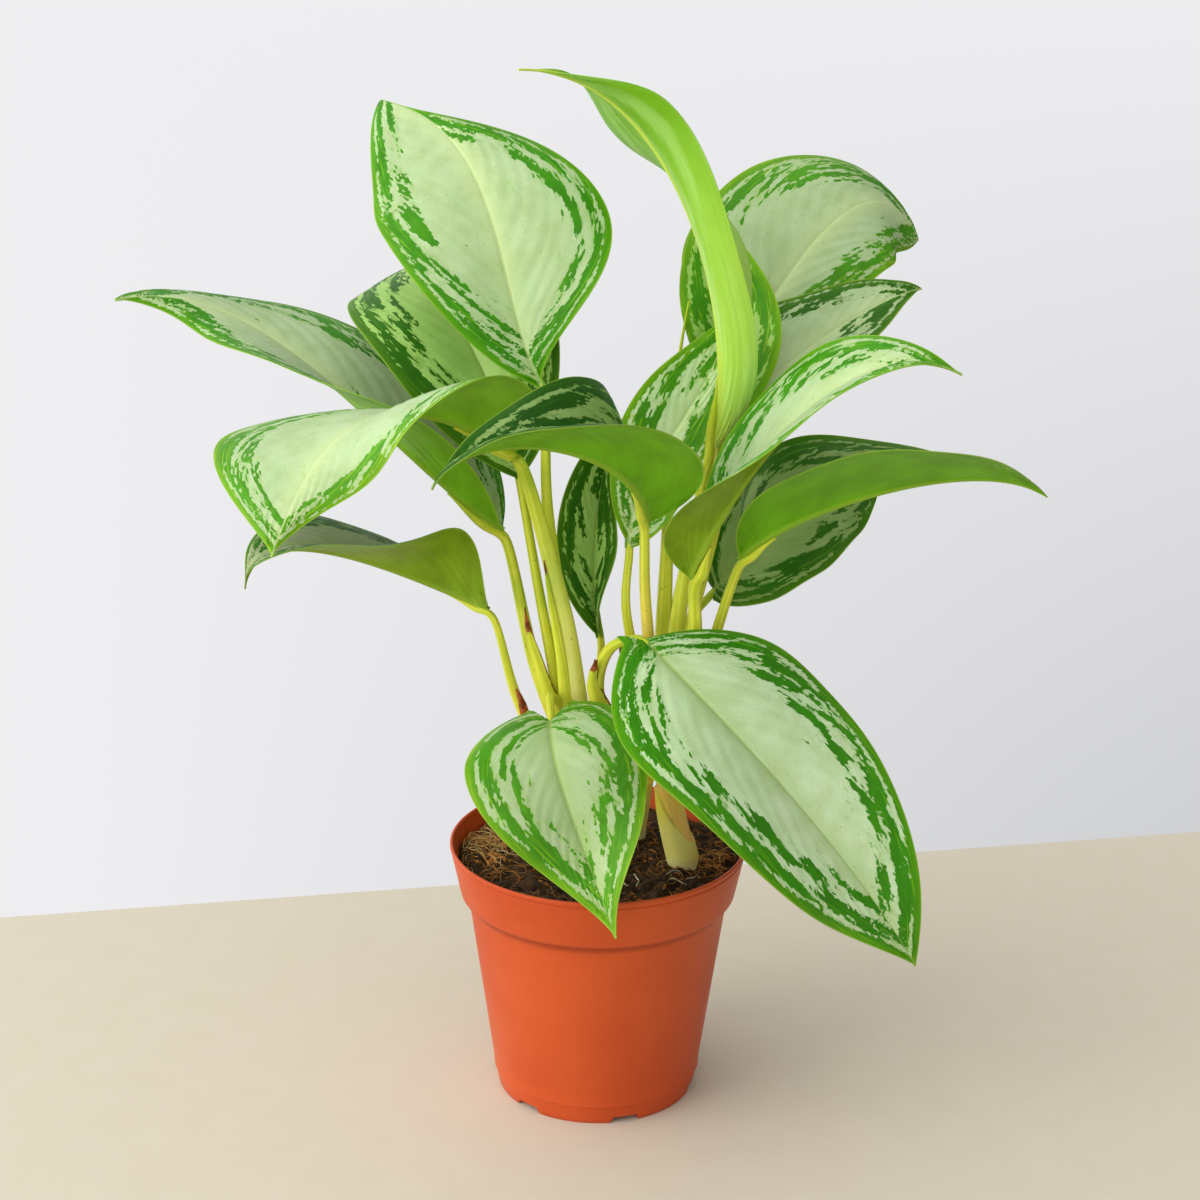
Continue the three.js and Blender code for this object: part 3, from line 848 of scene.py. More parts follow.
    def upper(self, name: str) -> bpy.types.Material:
        """Make the silver and green upper finish.

        Args:
            name: The material's name.

        Returns:
            The material.
        """
        look, s = self.look, Shader(name)
        at = Flow.read(s)
        streaks, silver = self.streaks(s, at), self.silver(s, at)
        halo = s.mix(s.span(streaks, -0.3, 0.0, 0.0, 0.35), silver, tint(look.green, 3.4, 1.6, 1.6))
        colour = s.mix(s.span(streaks, -0.03, 0.03), halo, self.green(s, at))
        colour = self.specks(s, at, colour)
        colour = s.mix(s.span(at.margin, 0.2, 0.6, 0.45, 0.0), colour, linear(self.EDGE))
        rib = self.rib_line(s, at, s.scale_add(at.share, -0.9, 1.25), 0.35, 0.55)
        colour = s.mix(rib, colour, linear(look.rib))
        grain = s.noise(s.scaled(at.flat(s), (2.2, 0.6, 1)), detail=3.0)
        return s.finish(colour, s.span(grain, 0.3, 0.7, 0.36, 0.5), Normal=s.bump(grain, 0.12), **self.GLOSS)

    def lower(self, name: str) -> bpy.types.Material:
        """Make the plain green lower finish.

        Args:
            name: The material's name.

        Returns:
            The material.
        """
        under, s = self.look.under, Shader(name)
        at = Flow.read(s)
        vein = self.vein(s, at.margin, at.run, at)
        clouds = s.noise(at.flat(s), 0.07, 3.0)
        lines = s.span(s.sum("PINGPONG", s.times(vein, self.VEIN_PITCH), 0.5), 0.0, 0.08, 1.0, 0.0)
        grain = s.noise(s.scaled(at.flat(s), (2.0, 0.4, 1)), detail=3.0)
        colour = s.mix(s.span(clouds, 0.3, 0.7), linear(under), tint(under, 0.75, 0.75, 0.75))
        colour = s.mix(s.times(lines, 0.2), colour, tint(under, 1.3, 1.3, 1.3))
        colour = s.mix(s.span(grain, 0.45, 0.8, 0.0, 0.3), colour, tint(under, 0.85, 0.85, 0.85))
        colour = s.mix(s.span(at.margin, 0.2, 0.7, 0.6, 0.0), colour, linear(self.EDGE))
        rib = self.rib_line(s, at, s.scale_add(at.share, -1.6, 2.2), 0.5, 0.6)
        colour = s.mix(rib, colour, linear(self.KEEL))
        height = s.plus(s.times(lines, 0.4), s.times(grain, 0.3))
        return s.finish(colour, 0.42, Normal=s.bump(height, 0.2), **self.GLOSS)


@dataclass(frozen=True)
class YoungFinish(LeafFinish):
    """The new leaf's plain bright green, paler towards its base, partly with painted sheen.

    Attributes:
        base: Its colour near the base, paler and whiter partly as painted sheen.
        painted_sheen: Painted sheen, as pale clouds along it.
        line: Fine lines along it.
        by_rib: Its yellower tone beside the midrib.
        neck: Its colour where the stalk begins.
    """

    base: str = "#BEE860"
    painted_sheen: str = "#C0E68C"
    line: str = "#6FB01E"
    by_rib: str = "#C3DC4C"
    neck: str = "#C9DA58"

    def upper(self, name: str) -> bpy.types.Material:
        """Make the plain upper finish."""
        return self.lower(name)

    def lower(self, name: str) -> bpy.types.Material:
        """Make the bright lower finish, with fine lengthwise lines.

        Args:
            name: The material's name.

        Returns:
            The material.
        """
        s = Shader(name)
        at = Flow.read(s)
        along_run = s.times(at.run, 0.02)
        lines = s.noise(s.vector(s.times(at.margin, 0.9), along_run, at.side), detail=3.0)
        clouds = s.noise(s.vector(s.times(at.margin, 0.12), along_run, at.side))
        # Towards the base it is paler, partly its own tone and partly painted sheen; the pale clouds along it
        # are painted sheen.
        colour = s.mix(s.span(at.share, 0.05, 0.75), linear(self.base), linear(self.look.under))
        colour = s.mix(s.span(clouds, 0.4, 0.65, 0.0, 0.35), colour, linear(self.painted_sheen))
        colour = s.mix(s.span(lines, 0.4, 0.7, 0.0, 0.25), colour, linear(self.line))
        from_rib = at.from_rib(s)
        colour = s.mix(s.span(from_rib, 0.0, 5.0, 0.5, 0.0), colour, linear(self.by_rib))
        colour = s.mix(s.span(from_rib, 0.6, 1.6, 0.8, 0.0), colour, linear(self.look.rib))
        colour = s.mix(s.span(at.share, 0.0, 0.12, 0.6, 0.0), colour, linear(self.neck))
        return s.finish(colour, 0.4, Normal=s.bump(lines, 0.08), **self.GLOSS)


# ---- The leaves -----------------------------------------------------------------------------


@dataclass(frozen=True)
class Half:
    """One half of a blade, as in the CAD source.

    Attributes:
        width: Its flat width at the widest.
        outline: The powers of its outline t^p (1 - t)^q, towards base and tip.
        fold: Degrees up from the midrib, evenly spaced from base to tip.
        curl: The further turn on the way to the margin.
        lobe: How far its base is drawn back past the stalk.
        point: The share of the length over which its tip is drawn out thin.
    """

    width: float
    outline: tuple[float, float]
    fold: tuple[float, ...]
    curl: tuple[float, ...]
    lobe: float = 0.0
    point: float = 0.0


@dataclass(frozen=True)
class LeafPlan:
    """Where one leaf is and how it is shaped, as in the CAD source.

    Attributes:
        name: The CAD node's name.
        shoot: The shoot that carries it.
        rib: Four points of the midrib, base to tip.
        face: The way the upper side looks at the base, middle and tip.
        left: The left half, seen from the upper side with the tip up.
        right: The right half.
        stalk: The stalk's points from the stem up to just below the blade.
        radii: The stalk's thickness along it.
        look: Its colours.
        wave: Height of the margin's waves.
    """

    name: str
    shoot: str
    rib: tuple[Point, Point, Point, Point]
    face: tuple[Point, Point, Point]
    left: Half
    right: Half
    stalk: tuple[Point, ...]
    radii: tuple[float, ...]
    look: LeafLook
    wave: float = 0.5


LEAVES = (
    LeafPlan(
        "leaf_crown_left", "left",
        ((-23, 5, 293), (-37, 14, 335), (-52, 31, 374), (-88, 62, 394)),
        ((0.1, -1, 0.1), (-0.05, -1, 0.25), (-0.3, -0.5, 0.8)),
        Half(42, (0.95, 0.6), (25, 15, 5), (-10, -20, -20)),
        Half(44, (1.7, 2.4), (30, 12, 5), (0, -35, -60)),
        ((-8, 1, 150), (-15, 0, 201), (-21, 2, 249)), (3.6, 2.6, 1.8),
        LeafLook(Tone.SILVER, Tone.GREEN, Tone.LIT_UNDER, Tone.PALE_RIB, (20, 19), 1.0),
    ),
    LeafPlan(
        "leaf_far_left", "left",
        ((-39, 15, 233), (-86, 21, 272), (-138, 43, 307), (-191, 36, 319)),
        ((0.5, 0.2, 0.8), (0, -0.15, 1), (0.3, -0.35, 0.9)),
        Half(34, (1.1, 1.4), (55, 30, -15), (0, -5, -30)),
        Half(40, (0.4, 0.7), (45, 15, -15), (0, -20, -30)),
        ((-8, 0, 140), (-17, -2, 159), (-26, 2, 183)), (3.2, 2),
        LeafLook(Tone.SILVER, Tone.GREEN, Tone.LIT_UNDER, Tone.PALE_RIB, (15, 19), 2.0),
    ),
    LeafPlan(
        "leaf_drooping_left", "left",
        ((-33, -4, 270), (-76, -34, 292), (-102, -58, 281), (-117, -82, 252)),
        ((0.2, 0.3, 0.95), (-0.2, -0.2, 1), (-0.2, -1, 0.2)),
        Half(45, (0.55, 1.4), (45, 25, -15), (-25, -25, -30)),
        Half(56, (1.8, 1.4), (10, -5, 5), (-10, -10, -15)),
        ((-6, 0, 140), (-9, -4, 167), (-14, -5, 203), (-24, -6, 244)), (5, 2.4),
        LeafLook(Tone.SILVER, Tone.LIT_GREEN, Tone.LIT_UNDER, Tone.PALE_RIB, (10, 24), 3.0),
    ),
    LeafPlan(
        "leaf_behind_left", "left",
        ((-32, 12, 255), (-45, 20, 293), (-63, 41, 320), (-77, 85, 324)),
        ((0.1, -1, 0.3), (0.05, -0.9, 0.45), (-0.15, -0.4, 0.9)),
        Half(40, (0.8, 0.6), (25, 35, 5), (-10, -15, -30)),
        Half(38, (0.9, 0.7), (30, 20, 5), (-10, -20, -30)),
        ((-8, 2, 145), (-15, 1, 165), (-22, 4, 199)), (2.6, 1.7),
        LeafLook(Tone.FRESH_SILVER, Tone.SHADED_GREEN, Tone.PLAIN_UNDER, Tone.PALE_RIB, (26, 22), 4.0),
    ),
    LeafPlan(
        "leaf_centre", "right",
        ((17, -29, 250), (-2, -63, 283), (-36, -79, 292), (-59, -91, 280)),
        ((0.7, 0.1, 0.7), (0.15, 0, 1), (-0.45, 0, 0.9)),
        Half(39, (0.8, 1.2), (70, 45, 25), (-30, -30, -25)),
        Half(44, (0.4, 1.9), (35, 50, 30), (-30, -20, -25)),
        ((23, -5, 150), (20, -10, 185), (17, -20, 220)), (2.8, 1.8),
        LeafLook(Tone.SHADED_SILVER, Tone.DEEPLY_SHADED_GREEN, Tone.GREEN_UNDER, Tone.GREEN_RIB, (27, 29), 5.0, 0.8),
    ),
    LeafPlan(
        "leaf_low_left", "left",
        ((-44, -5, 207), (-79, -5, 222), (-115, -25, 237), (-134, -34, 224)),
        ((0, 0.4, 0.9), (0.1, 0.1, 1), (-0.4, -0.2, 0.9)),
        Half(36, (0.9, 1.5), (68, 26, 25), (0, -10, -15)),
        Half(31, (1, 1.4), (35, 28, 20), (-20, -20, -20)),
        ((-10, 3, 135), (-24, 4, 148), (-33, 2, 168)), (2.8, 1.5),
        LeafLook(Tone.GREY_SILVER, Tone.SHADED_GREEN, Tone.OLIVE_UNDER, Tone.GREEN_RIB, (14, 16), 6.0),
    ),
    LeafPlan(
        "leaf_young", "right",
        ((43, 0, 272), (40, -11, 337), (14, -8, 392), (-31, -22, 416)),
        ((1, 0.1, 0.1), (0.9, -0.3, 0.4), (0.5, 0, 0.9)),
        Half(26.5, (0.6, 0.4), (30, 0, 30, 20), (105, 100, 45, 0), 0, 0.3),
        Half(30, (0.6, 0.45), (20, 25, -35, 15), (0, 0, 0, 0), 0, 0.3),
        ((28, -5, 150), (30, -4, 200), (37, 0, 245)), (4, 1.9),
        LeafLook(Tone.NEW_LEAF, Tone.NEW_LEAF, Tone.NEW_LEAF, Tone.NEW_RIB, (1, 1), 7.0),
        0.0,
    ),
    LeafPlan(
        "leaf_top_right", "back",
        ((56, 68, 296), (73, 76, 320), (102, 98, 347), (133, 122, 330)),
        ((-0.25, -0.9, 0.35), (-0.2, -0.85, 0.5), (0.15, -0.45, 0.9)),
        Half(45, (0.6, 0.9), (25, 15, 5), (-10, -20, -30)),
        Half(29, (0.7, 0.45), (10, -8, -17), (-10, -10, -10)),
        ((22, 20, 150), (34, 35, 210), (49, 62, 266)), (3, 1.7),
        LeafLook(Tone.SILVER, Tone.LIT_GREEN, Tone.PLAIN_UNDER, Tone.PALE_RIB, (24, 19), 8.0),
    ),
    LeafPlan(
        "leaf_behind_young", "back",
        ((47, 19, 269), (50, 25, 304), (48, 31, 330), (41, 37, 361)),
        ((0, -1, 0.2), (0, -1, 0.3), (0, -1, 0.3)),
        Half(20, (0.9, 0.7), (30, 20, 10), (-10, -10, -20)),
        Half(20, (0.9, 1.3), (30, 20, 10), (-10, -10, -20)),
        ((18, 18, 150), (30, 18, 200), (42, 18, 241)), (2.6, 1.7),
        LeafLook(Tone.FRESH_SILVER, Tone.LIT_GREEN, Tone.PLAIN_UNDER, Tone.GREEN_RIB, (20, 20), 9.0),
    ),
    LeafPlan(
        "leaf_upper_right", "back",
        ((51, 28, 275), (75, 40, 296), (105, 59, 312), (129, 73, 319)),
        ((-0.3, -0.85, 0.45), (-0.25, -0.65, 0.7), (-0.15, -0.65, 0.75)),
        Half(27, (0.3, 0.85), (35, 15, 15), (-5, -15, -20)),
        Half(25, (0.5, 1.4), (30, 20, 10), (-10, -10, -20)),
        ((24, 18, 150), (39, 20, 205), (48, 26, 245)), (2.6, 1.7),
        LeafLook(Tone.SILVER, Tone.SHADED_GREEN, Tone.PLAIN_UNDER, Tone.PALE_RIB, (13, 18), 10.0),
    ),
    LeafPlan(
        "leaf_mid_right", "right",
        ((35, -17, 224), (52, -28, 263), (86, -43, 306), (129, -51, 313)),
        ((-1, 0.1, 0.2), (-0.55, -0.2, 0.8), (0, -0.3, 0.95)),
        Half(26, (1.7, 1.5), (58, 33, 31), (-10, -25, -20)),
        Half(25, (0.8, 1.4), (92, 34, 30), (-10, -25, -20)),
        ((32, -5, 150), (36, -8, 175), (37, -14, 198)), (3.2, 2.4),
        LeafLook(Tone.SILVER, Tone.GREEN, Tone.OLIVE_UNDER, Tone.PALE_RIB, (18, 6), 11.0),
    ),
    LeafPlan(
        "leaf_low_right", "right",
        ((54, -7, 229), (87, -18, 253), (132, -23, 266), (167, -28, 261)),
        ((-0.1, 0, 1), (-0.1, 0, 1), (0, 0.1, 1)),
        Half(39, (0.55, 1.9), (54, 40, 13), (-18, -20, -23)),
        Half(35, (1, 1.15), (60, 50, 33), (-15, -18, -19)),
        ((33, -4, 150), (40, -4, 175), (46, -5, 201)), (3, 1.9),
        LeafLook(Tone.SHADED_SILVER, Tone.SHADED_GREEN, Tone.GREEN_UNDER, Tone.GREEN_RIB, (22, 22), 12.0),
    ),
    LeafPlan(
        "leaf_back_right", "back",
        ((46, 36, 202), (68, 44, 220), (93, 58, 233), (115, 69, 237)),
        ((0, -0.5, 0.85), (0, -0.5, 0.85), (0, -0.5, 0.85)),
        Half(30, (0.6, 1.05), (20, 10, 5), (0, 0, 0)),
        Half(25, (0.45, 0.75), (10, 5, 0), (-20, -28, -30), 3),
        ((22, 20, 140), (27, 28, 160), (36, 33, 189)), (2.6, 1.6),
        LeafLook(Tone.SHADED_SILVER, Tone.SHADED_GREEN, Tone.PLAIN_UNDER, Tone.GREEN_RIB, (18, 18), 13.0),
        0.9,
    ),
    LeafPlan(
        "leaf_centre_upright", "back",
        ((0, 19, 187), (-3, 26, 214), (-1, 32, 239), (3, 39, 270)),
        ((-0.1, -1, 0.2), (0.05, -1, 0.2), (-0.1, -1, 0.2)),
        Half(17, (0.85, 0.75), (22, 23, 18), (0, 0, 0)),
        Half(16, (0.75, 1.4), (85, 55, 55), (0, 0, 0)),
        ((14, 18, 118), (7, 18, 138), (0, 18, 165)), (2.4, 1.5),
        LeafLook(Tone.FRESH_SILVER, Tone.SHADED_GREEN, Tone.PLAIN_UNDER, Tone.GREEN_RIB, (16, 16), 14.0),
    ),
    LeafPlan(
        "leaf_inner_right", "back",
        ((11, 9, 228), (19, 11, 258), (36, 14, 287), (49, 15, 321)),
        ((-0.2, -1, 0.2), (-0.1, -1, 0.25), (0, -1, 0.3)),
        Half(21, (1.2, 1), (20, 13, 13), (0, 0, 0)),
        Half(17, (0.6, 1.2), (14, 12, 5), (0, 0, 0)),
        ((17, 12, 145), (14, 6, 180), (10, 4, 207)), (2.6, 1.7),
        LeafLook(Tone.PALE_SILVER, Tone.LIT_GREEN, Tone.PLAIN_UNDER, Tone.PALE_RIB, (17, 14), 15.0),
    ),
    LeafPlan(
        "leaf_pot_front", "left",
        ((-19, -26, 169), (-15, -49, 154), (-5, -58, 127), (7, -79, 102)),
        ((-0.15, -0.75, 0.65), (-0.05, -0.75, 0.65), (-0.25, -0.75, 0.6)),
        Half(35, (0.4, 1), (15, 15, 45), (-20, -20, 0), 11),
        Half(35, (0.45, 1.3), (10, 20, 10), (-25, -20, -10), 11),
        ((-6, -1, 135), (-11, -3, 155), (-19, -13, 174)), (2.8, 1.3),
        LeafLook(Tone.SILVER, Tone.LIT_GREEN, Tone.PLAIN_UNDER, Tone.GREEN_RIB, (27, 24), 17.0),
    ),
    LeafPlan(
        "leaf_big_front", "right",
        ((17, -28, 203), (46, -51, 179), (85, -65, 138), (122, -64, 84)),
        ((0, -0.55, 0.85), (0.2, -0.65, 0.75), (0.25, -0.9, 0.3)),
        Half(47, (0.75, 1), (8, 6, 12), (-21, -21, -6)),
        Half(45, (0.8, 1.15), (2, 25, 10), (-24, -13, -8), 8),
        ((20, -4, 135), (5, -8, 155), (-1, -12, 178), (4, -16, 195)), (4, 1.7),
        LeafLook(Tone.PALE_SILVER, Tone.GREEN, Tone.PLAIN_UNDER, Tone.GREEN_RIB, (25, 25), 18.0),
    ),
)


@dataclass
class Blade:
    """One leaf's blade, on the CAD source's own surface with finer detail.

    Attributes:
        plan: The leaf's place, form and colours.
        rows: Rows of vertices along it.
        half_columns: Vertices from the midrib to a margin.
    """

    plan: LeafPlan
    rows: int = 110
    half_columns: int = 26

    THICKNESS = 0.8
    EDGE_THICKNESS = 0.3
    EDGE_SLOPE = 4.0  # distance from the margin at which it has its full thickness
    RIB_DROP = 1.3  # depth of the midrib's keel underneath
    RIB_SPREAD = 1.5  # how far keel and groove spread to each side
    GROOVE = 0.45  # depth of the groove above the midrib
    NECK_HALF_WIDTH = 1.7
    TIP_HALF_WIDTH = 0.5
    LOBE_SPAN = 0.07  # share of the length over which a lobe's pull fades
    LOBE_SPREAD = 0.75  # how much wider the neck is for each millimetre of lobe
    WAVES = 3.3  # waves of a margin along its length
    WAVE_SHIFT = 0.37  # how far the seed shifts them
    VEINS = 13  # side veins of a half
    QUILT = 0.22  # rise between two of them
    QUILT_EDGE = 6.0  # half-width below which it fades

    def half_width(self, half: Half, t: Array) -> Array:
        """Give t^p (1 - t)^q scaled to the stated width, drawn out at the tip, never less than neck or tip.

        Args:
            half: The half of the blade.
            t: Shares of the length.

        Returns:
            The half-width at each of them.
        """
        p, q = half.outline
        peak = (p / (p + q)) ** p * (q / (p + q)) ** q
        drawn = smooth(0, half.point, 1 - t) if half.point else 1.0
        neck = self.NECK_HALF_WIDTH + self.LOBE_SPREAD * half.lobe
        width = half.width * t**p * (1 - t) ** q / peak
        return np.maximum(width * drawn, neck + (self.TIP_HALF_WIDTH - neck) * t)

    def frames(self, t: Array) -> tuple[Array, Array, Array, Array]:
        """Give the midrib's place and directions.

        Args:
            t: Shares of the length.

        Returns:
            Its point, direction, way across and way up at each of them.
        """
        tangent = cubic_direction(self.plan.rib, t)
        face = along(unit(np.array(self.plan.face, float)), t)
        up = unit(face - (face * tangent).sum(-1, keepdims=True) * tangent)
        return cubic(self.plan.rib, t), tangent, np.cross(tangent, up), up

    def pick(self, s: Array, left: Array, right: Array) -> Array:
        """Take the left half's value left of the midrib and the right half's right of it."""
        return np.where(s[None, :] < 0, left[:, None], right[:, None])

    def middle(self, t: Array, s: Array) -> tuple[Array, Array]:
        """Work out the blade's middle surface.

        A point is the midrib's, moved out and up by the bent strip's share of the half-width, and back
        by lobe * e^(-t / LOBE_SPAN) * (3 s^2 - 2 s^3). The margin waves by a sine that grows with s^3.

        Args:
            t: Shares of the length.
            s: Signed shares of the half-width.

        Returns:
            The points, rows by columns, and the half-width at each.
        """
        plan = self.plan
        centre, tangent, across, up = self.frames(t)
        share, sign = np.abs(s)[None, :], np.sign(s)[None, :]
        halves = (plan.left, plan.right)
        width = self.pick(s, *(self.half_width(h, t) for h in halves))
        fold = self.pick(s, *(np.radians(along(h.fold, t)) for h in halves))
        curl = self.pick(s, *(np.radians(along(h.curl, t)) for h in halves))
        lobe = np.where(s < 0, plan.left.lobe, plan.right.lobe)[None, :]
        out, rise = bend(fold, curl, share)
        back = lobe * np.exp(-t[:, None] / self.LOBE_SPAN) * smooth(0, 1, share)
        shift = self.WAVE_SHIFT * plan.look.seed * (1 + 0.5 * sign)
        beat = 2 * np.pi * (self.WAVES * t[:, None] + shift)
        fade = smooth(0, 0.2, t) * smooth(0, 0.15, 1 - t)
        wave = plan.wave * np.sin(beat) * share**3 * fade[:, None]
        points = (
            centre[:, None]
            + across[:, None] * (sign * out * width)[..., None]
            + up[:, None] * (rise * width + wave)[..., None]
            - tangent[:, None] * back[..., None]
        )
        return points, width

    def skin(self) -> Skin:
        """Thicken the middle surface both ways, with a groove above the midrib and a keel below it.

        Each side lies half the thickness from the middle along its normal. Both rise together between side
        veins by QUILT * -cos(2 pi VEINS v) * sin(pi s), where v numbers the vein. At the midrib the upper
        side sinks by GROOVE and the lower by RIB_DROP, times e^(-(distance / RIB_SPREAD)^2), less and less
        towards the tip.

        Returns:
            A closed skin with the upper side as finish 0 and the lower side as finish 1.
        """
        u = np.linspace(0, 1, self.rows)
        t = 0.4 * u + 0.6 * (0.5 - 0.5 * np.cos(np.pi * u))
        c = np.linspace(0, 1, self.half_columns + 1)
        c = 0.45 * c + 0.55 * c**2
        s = np.concatenate([-c[:0:-1], c])
        points, width = self.middle(t, s)
        normal = unit(np.cross(np.gradient(points, axis=1), np.gradient(points, axis=0)))
        share = np.abs(s)[None, :]
        inward = (1 - share) * width
        length = np.linalg.norm(np.diff(cubic(self.plan.rib, np.linspace(0, 1, 60)), axis=0), axis=1).sum()
        fade = 1 - 0.8 * t[:, None]
        near_rib = np.exp(-((share * width / (self.RIB_SPREAD * fade)) ** 2))
        vein = t[:, None] + np.log(np.maximum(1 - share, LeafFinish.VEIN_START)) / LeafFinish.VEIN_CURVE
        ripple = np.cos(2 * np.pi * self.VEINS * vein) * np.sin(np.pi * share)
        quilt = -self.QUILT * ripple * smooth(0, self.QUILT_EDGE, width)
        thicker = (self.THICKNESS - self.EDGE_THICKNESS) * smooth(0, self.EDGE_SLOPE, inward)
        half = (self.EDGE_THICKNESS + thicker) / 2
        top = points + normal * (half + quilt - self.GROOVE * fade * near_rib)[..., None]
        low = points - normal * (half - quilt + self.RIB_DROP * fade * near_rib)[..., None]
        flow = np.stack(np.broadcast_arrays(inward, t[:, None] * length, width), -1)
        place = np.stack(np.broadcast_arrays(t[:, None], s[None, :], length), -1)
        return sheet(top, low, {"leaf_flow": flow, "leaf_place": place})

    def build(self) -> bpy.types.Object:
        """Add the blade to the scene in place of its CAD node.

        Returns:
            The object.
        """
        name = self.plan.name.replace("leaf_", "blade_")
        young = self.plan.name == "leaf_young"
        finish = YoungFinish(self.plan.look) if young else LeafFinish(self.plan.look)
        materials = [finish.upper(f"{name}_upper"), finish.lower(f"{name}_lower")]
        return add_piece(name, self.skin(), materials, (self.plan.name,))


# ---- Stems and stalks -----------------------------------------------------------------------


@dataclass(frozen=True)
class Stem:
    """A stem or rolled leaf that stands in the soil or in another stem.

    Attributes:
        path: Points from its lower end up.
        radii: Thickness along it.
        wrap: Two heights between which an old sheath's edge crosses its front, from left to right, or None.
    """

    path: tuple[Point, ...]
    radii: tuple[float, ...]
    wrap: tuple[float, float] | None = None


@dataclass(frozen=True)
class Sheath:
    """The thin wing at a stalk's foot, dry and brown towards its end.

    Attributes:
        path: Points along its middle, from its foot up.
        half_widths: Half its width along it.
        dry: The share of its length at which it turns brown.
        rusty: How rusty its right-hand edge is, from 0 to 1.
    """

    path: tuple[Point, ...]
    half_widths: tuple[float, ...]
    dry: float
    rusty: float = 1.0


STEMS = {
    "left": (Stem(((-3, 6, 76), (-3, 5, 98), (-5, 2, 125), (-9, -1, 160)), (6, 4.5)),),
    "right": (Stem(((39, -12, 76), (35, -10, 99), (29, -7, 125), (27, -6, 165)), (6.6, 5.2), (133, 105)),),
    "back": (
        Stem(((13, 20, 76), (14, 20, 98), (18, 17, 130), (22, 15, 160)), (5.6, 4.6)),
        Stem(
            ((24, 17, 150), (26, 18, 220), (27, 18, 279), (31, 20, 312), (33, 21, 324)),
            (3.4, 3.2, 2.2, 1.2, 0.4),
        ),
    ),
}

SHEATHS = {
    "left": (
        Sheath(
            ((-12.5, -4, 152), (-19.5, -4.5, 170), (-24, -4, 184), (-28, -3, 197), (-29.6, -3, 207)),
            (3.6, 3, 2.3, 1.6, 0.3), 0.8,
        ),
        Sheath(((-24, 0, 152), (-29, -1, 160), (-31, -1, 167), (-33, -1, 172)), (2.4, 2, 1.6, 0.5), 0.35),
        Sheath(
            ((-13, -8, 168), (-15.5, -9, 190), (-19, -9, 210), (-22, -8.5, 228)),
            (2.6, 2, 1.4, 0.3), 0.9, 0.5,
        ),
    ),
    "right": (
        Sheath(
            ((8, -10, 152), (1, -12.5, 168), (-2.6, -14.5, 180), (-1.5, -18, 191)),
            (6, 4.6, 2.8, 0.8), 0.85,
        ),
        Sheath(
            ((12, -8, 180), (9.5, -13, 190), (8.3, -14, 194), (8.3, -14, 199)),
            (2.4, 1.8, 1.2, 0.3), 0.5,
        ),
        Sheath(
            ((31, -13.5, 140), (33, -13, 165), (34, -12.5, 190), (36, -12, 210)),
            (4, 3.6, 2.6, 1), 1.0, 0.0,
        ),
    ),
    "back": (),
}


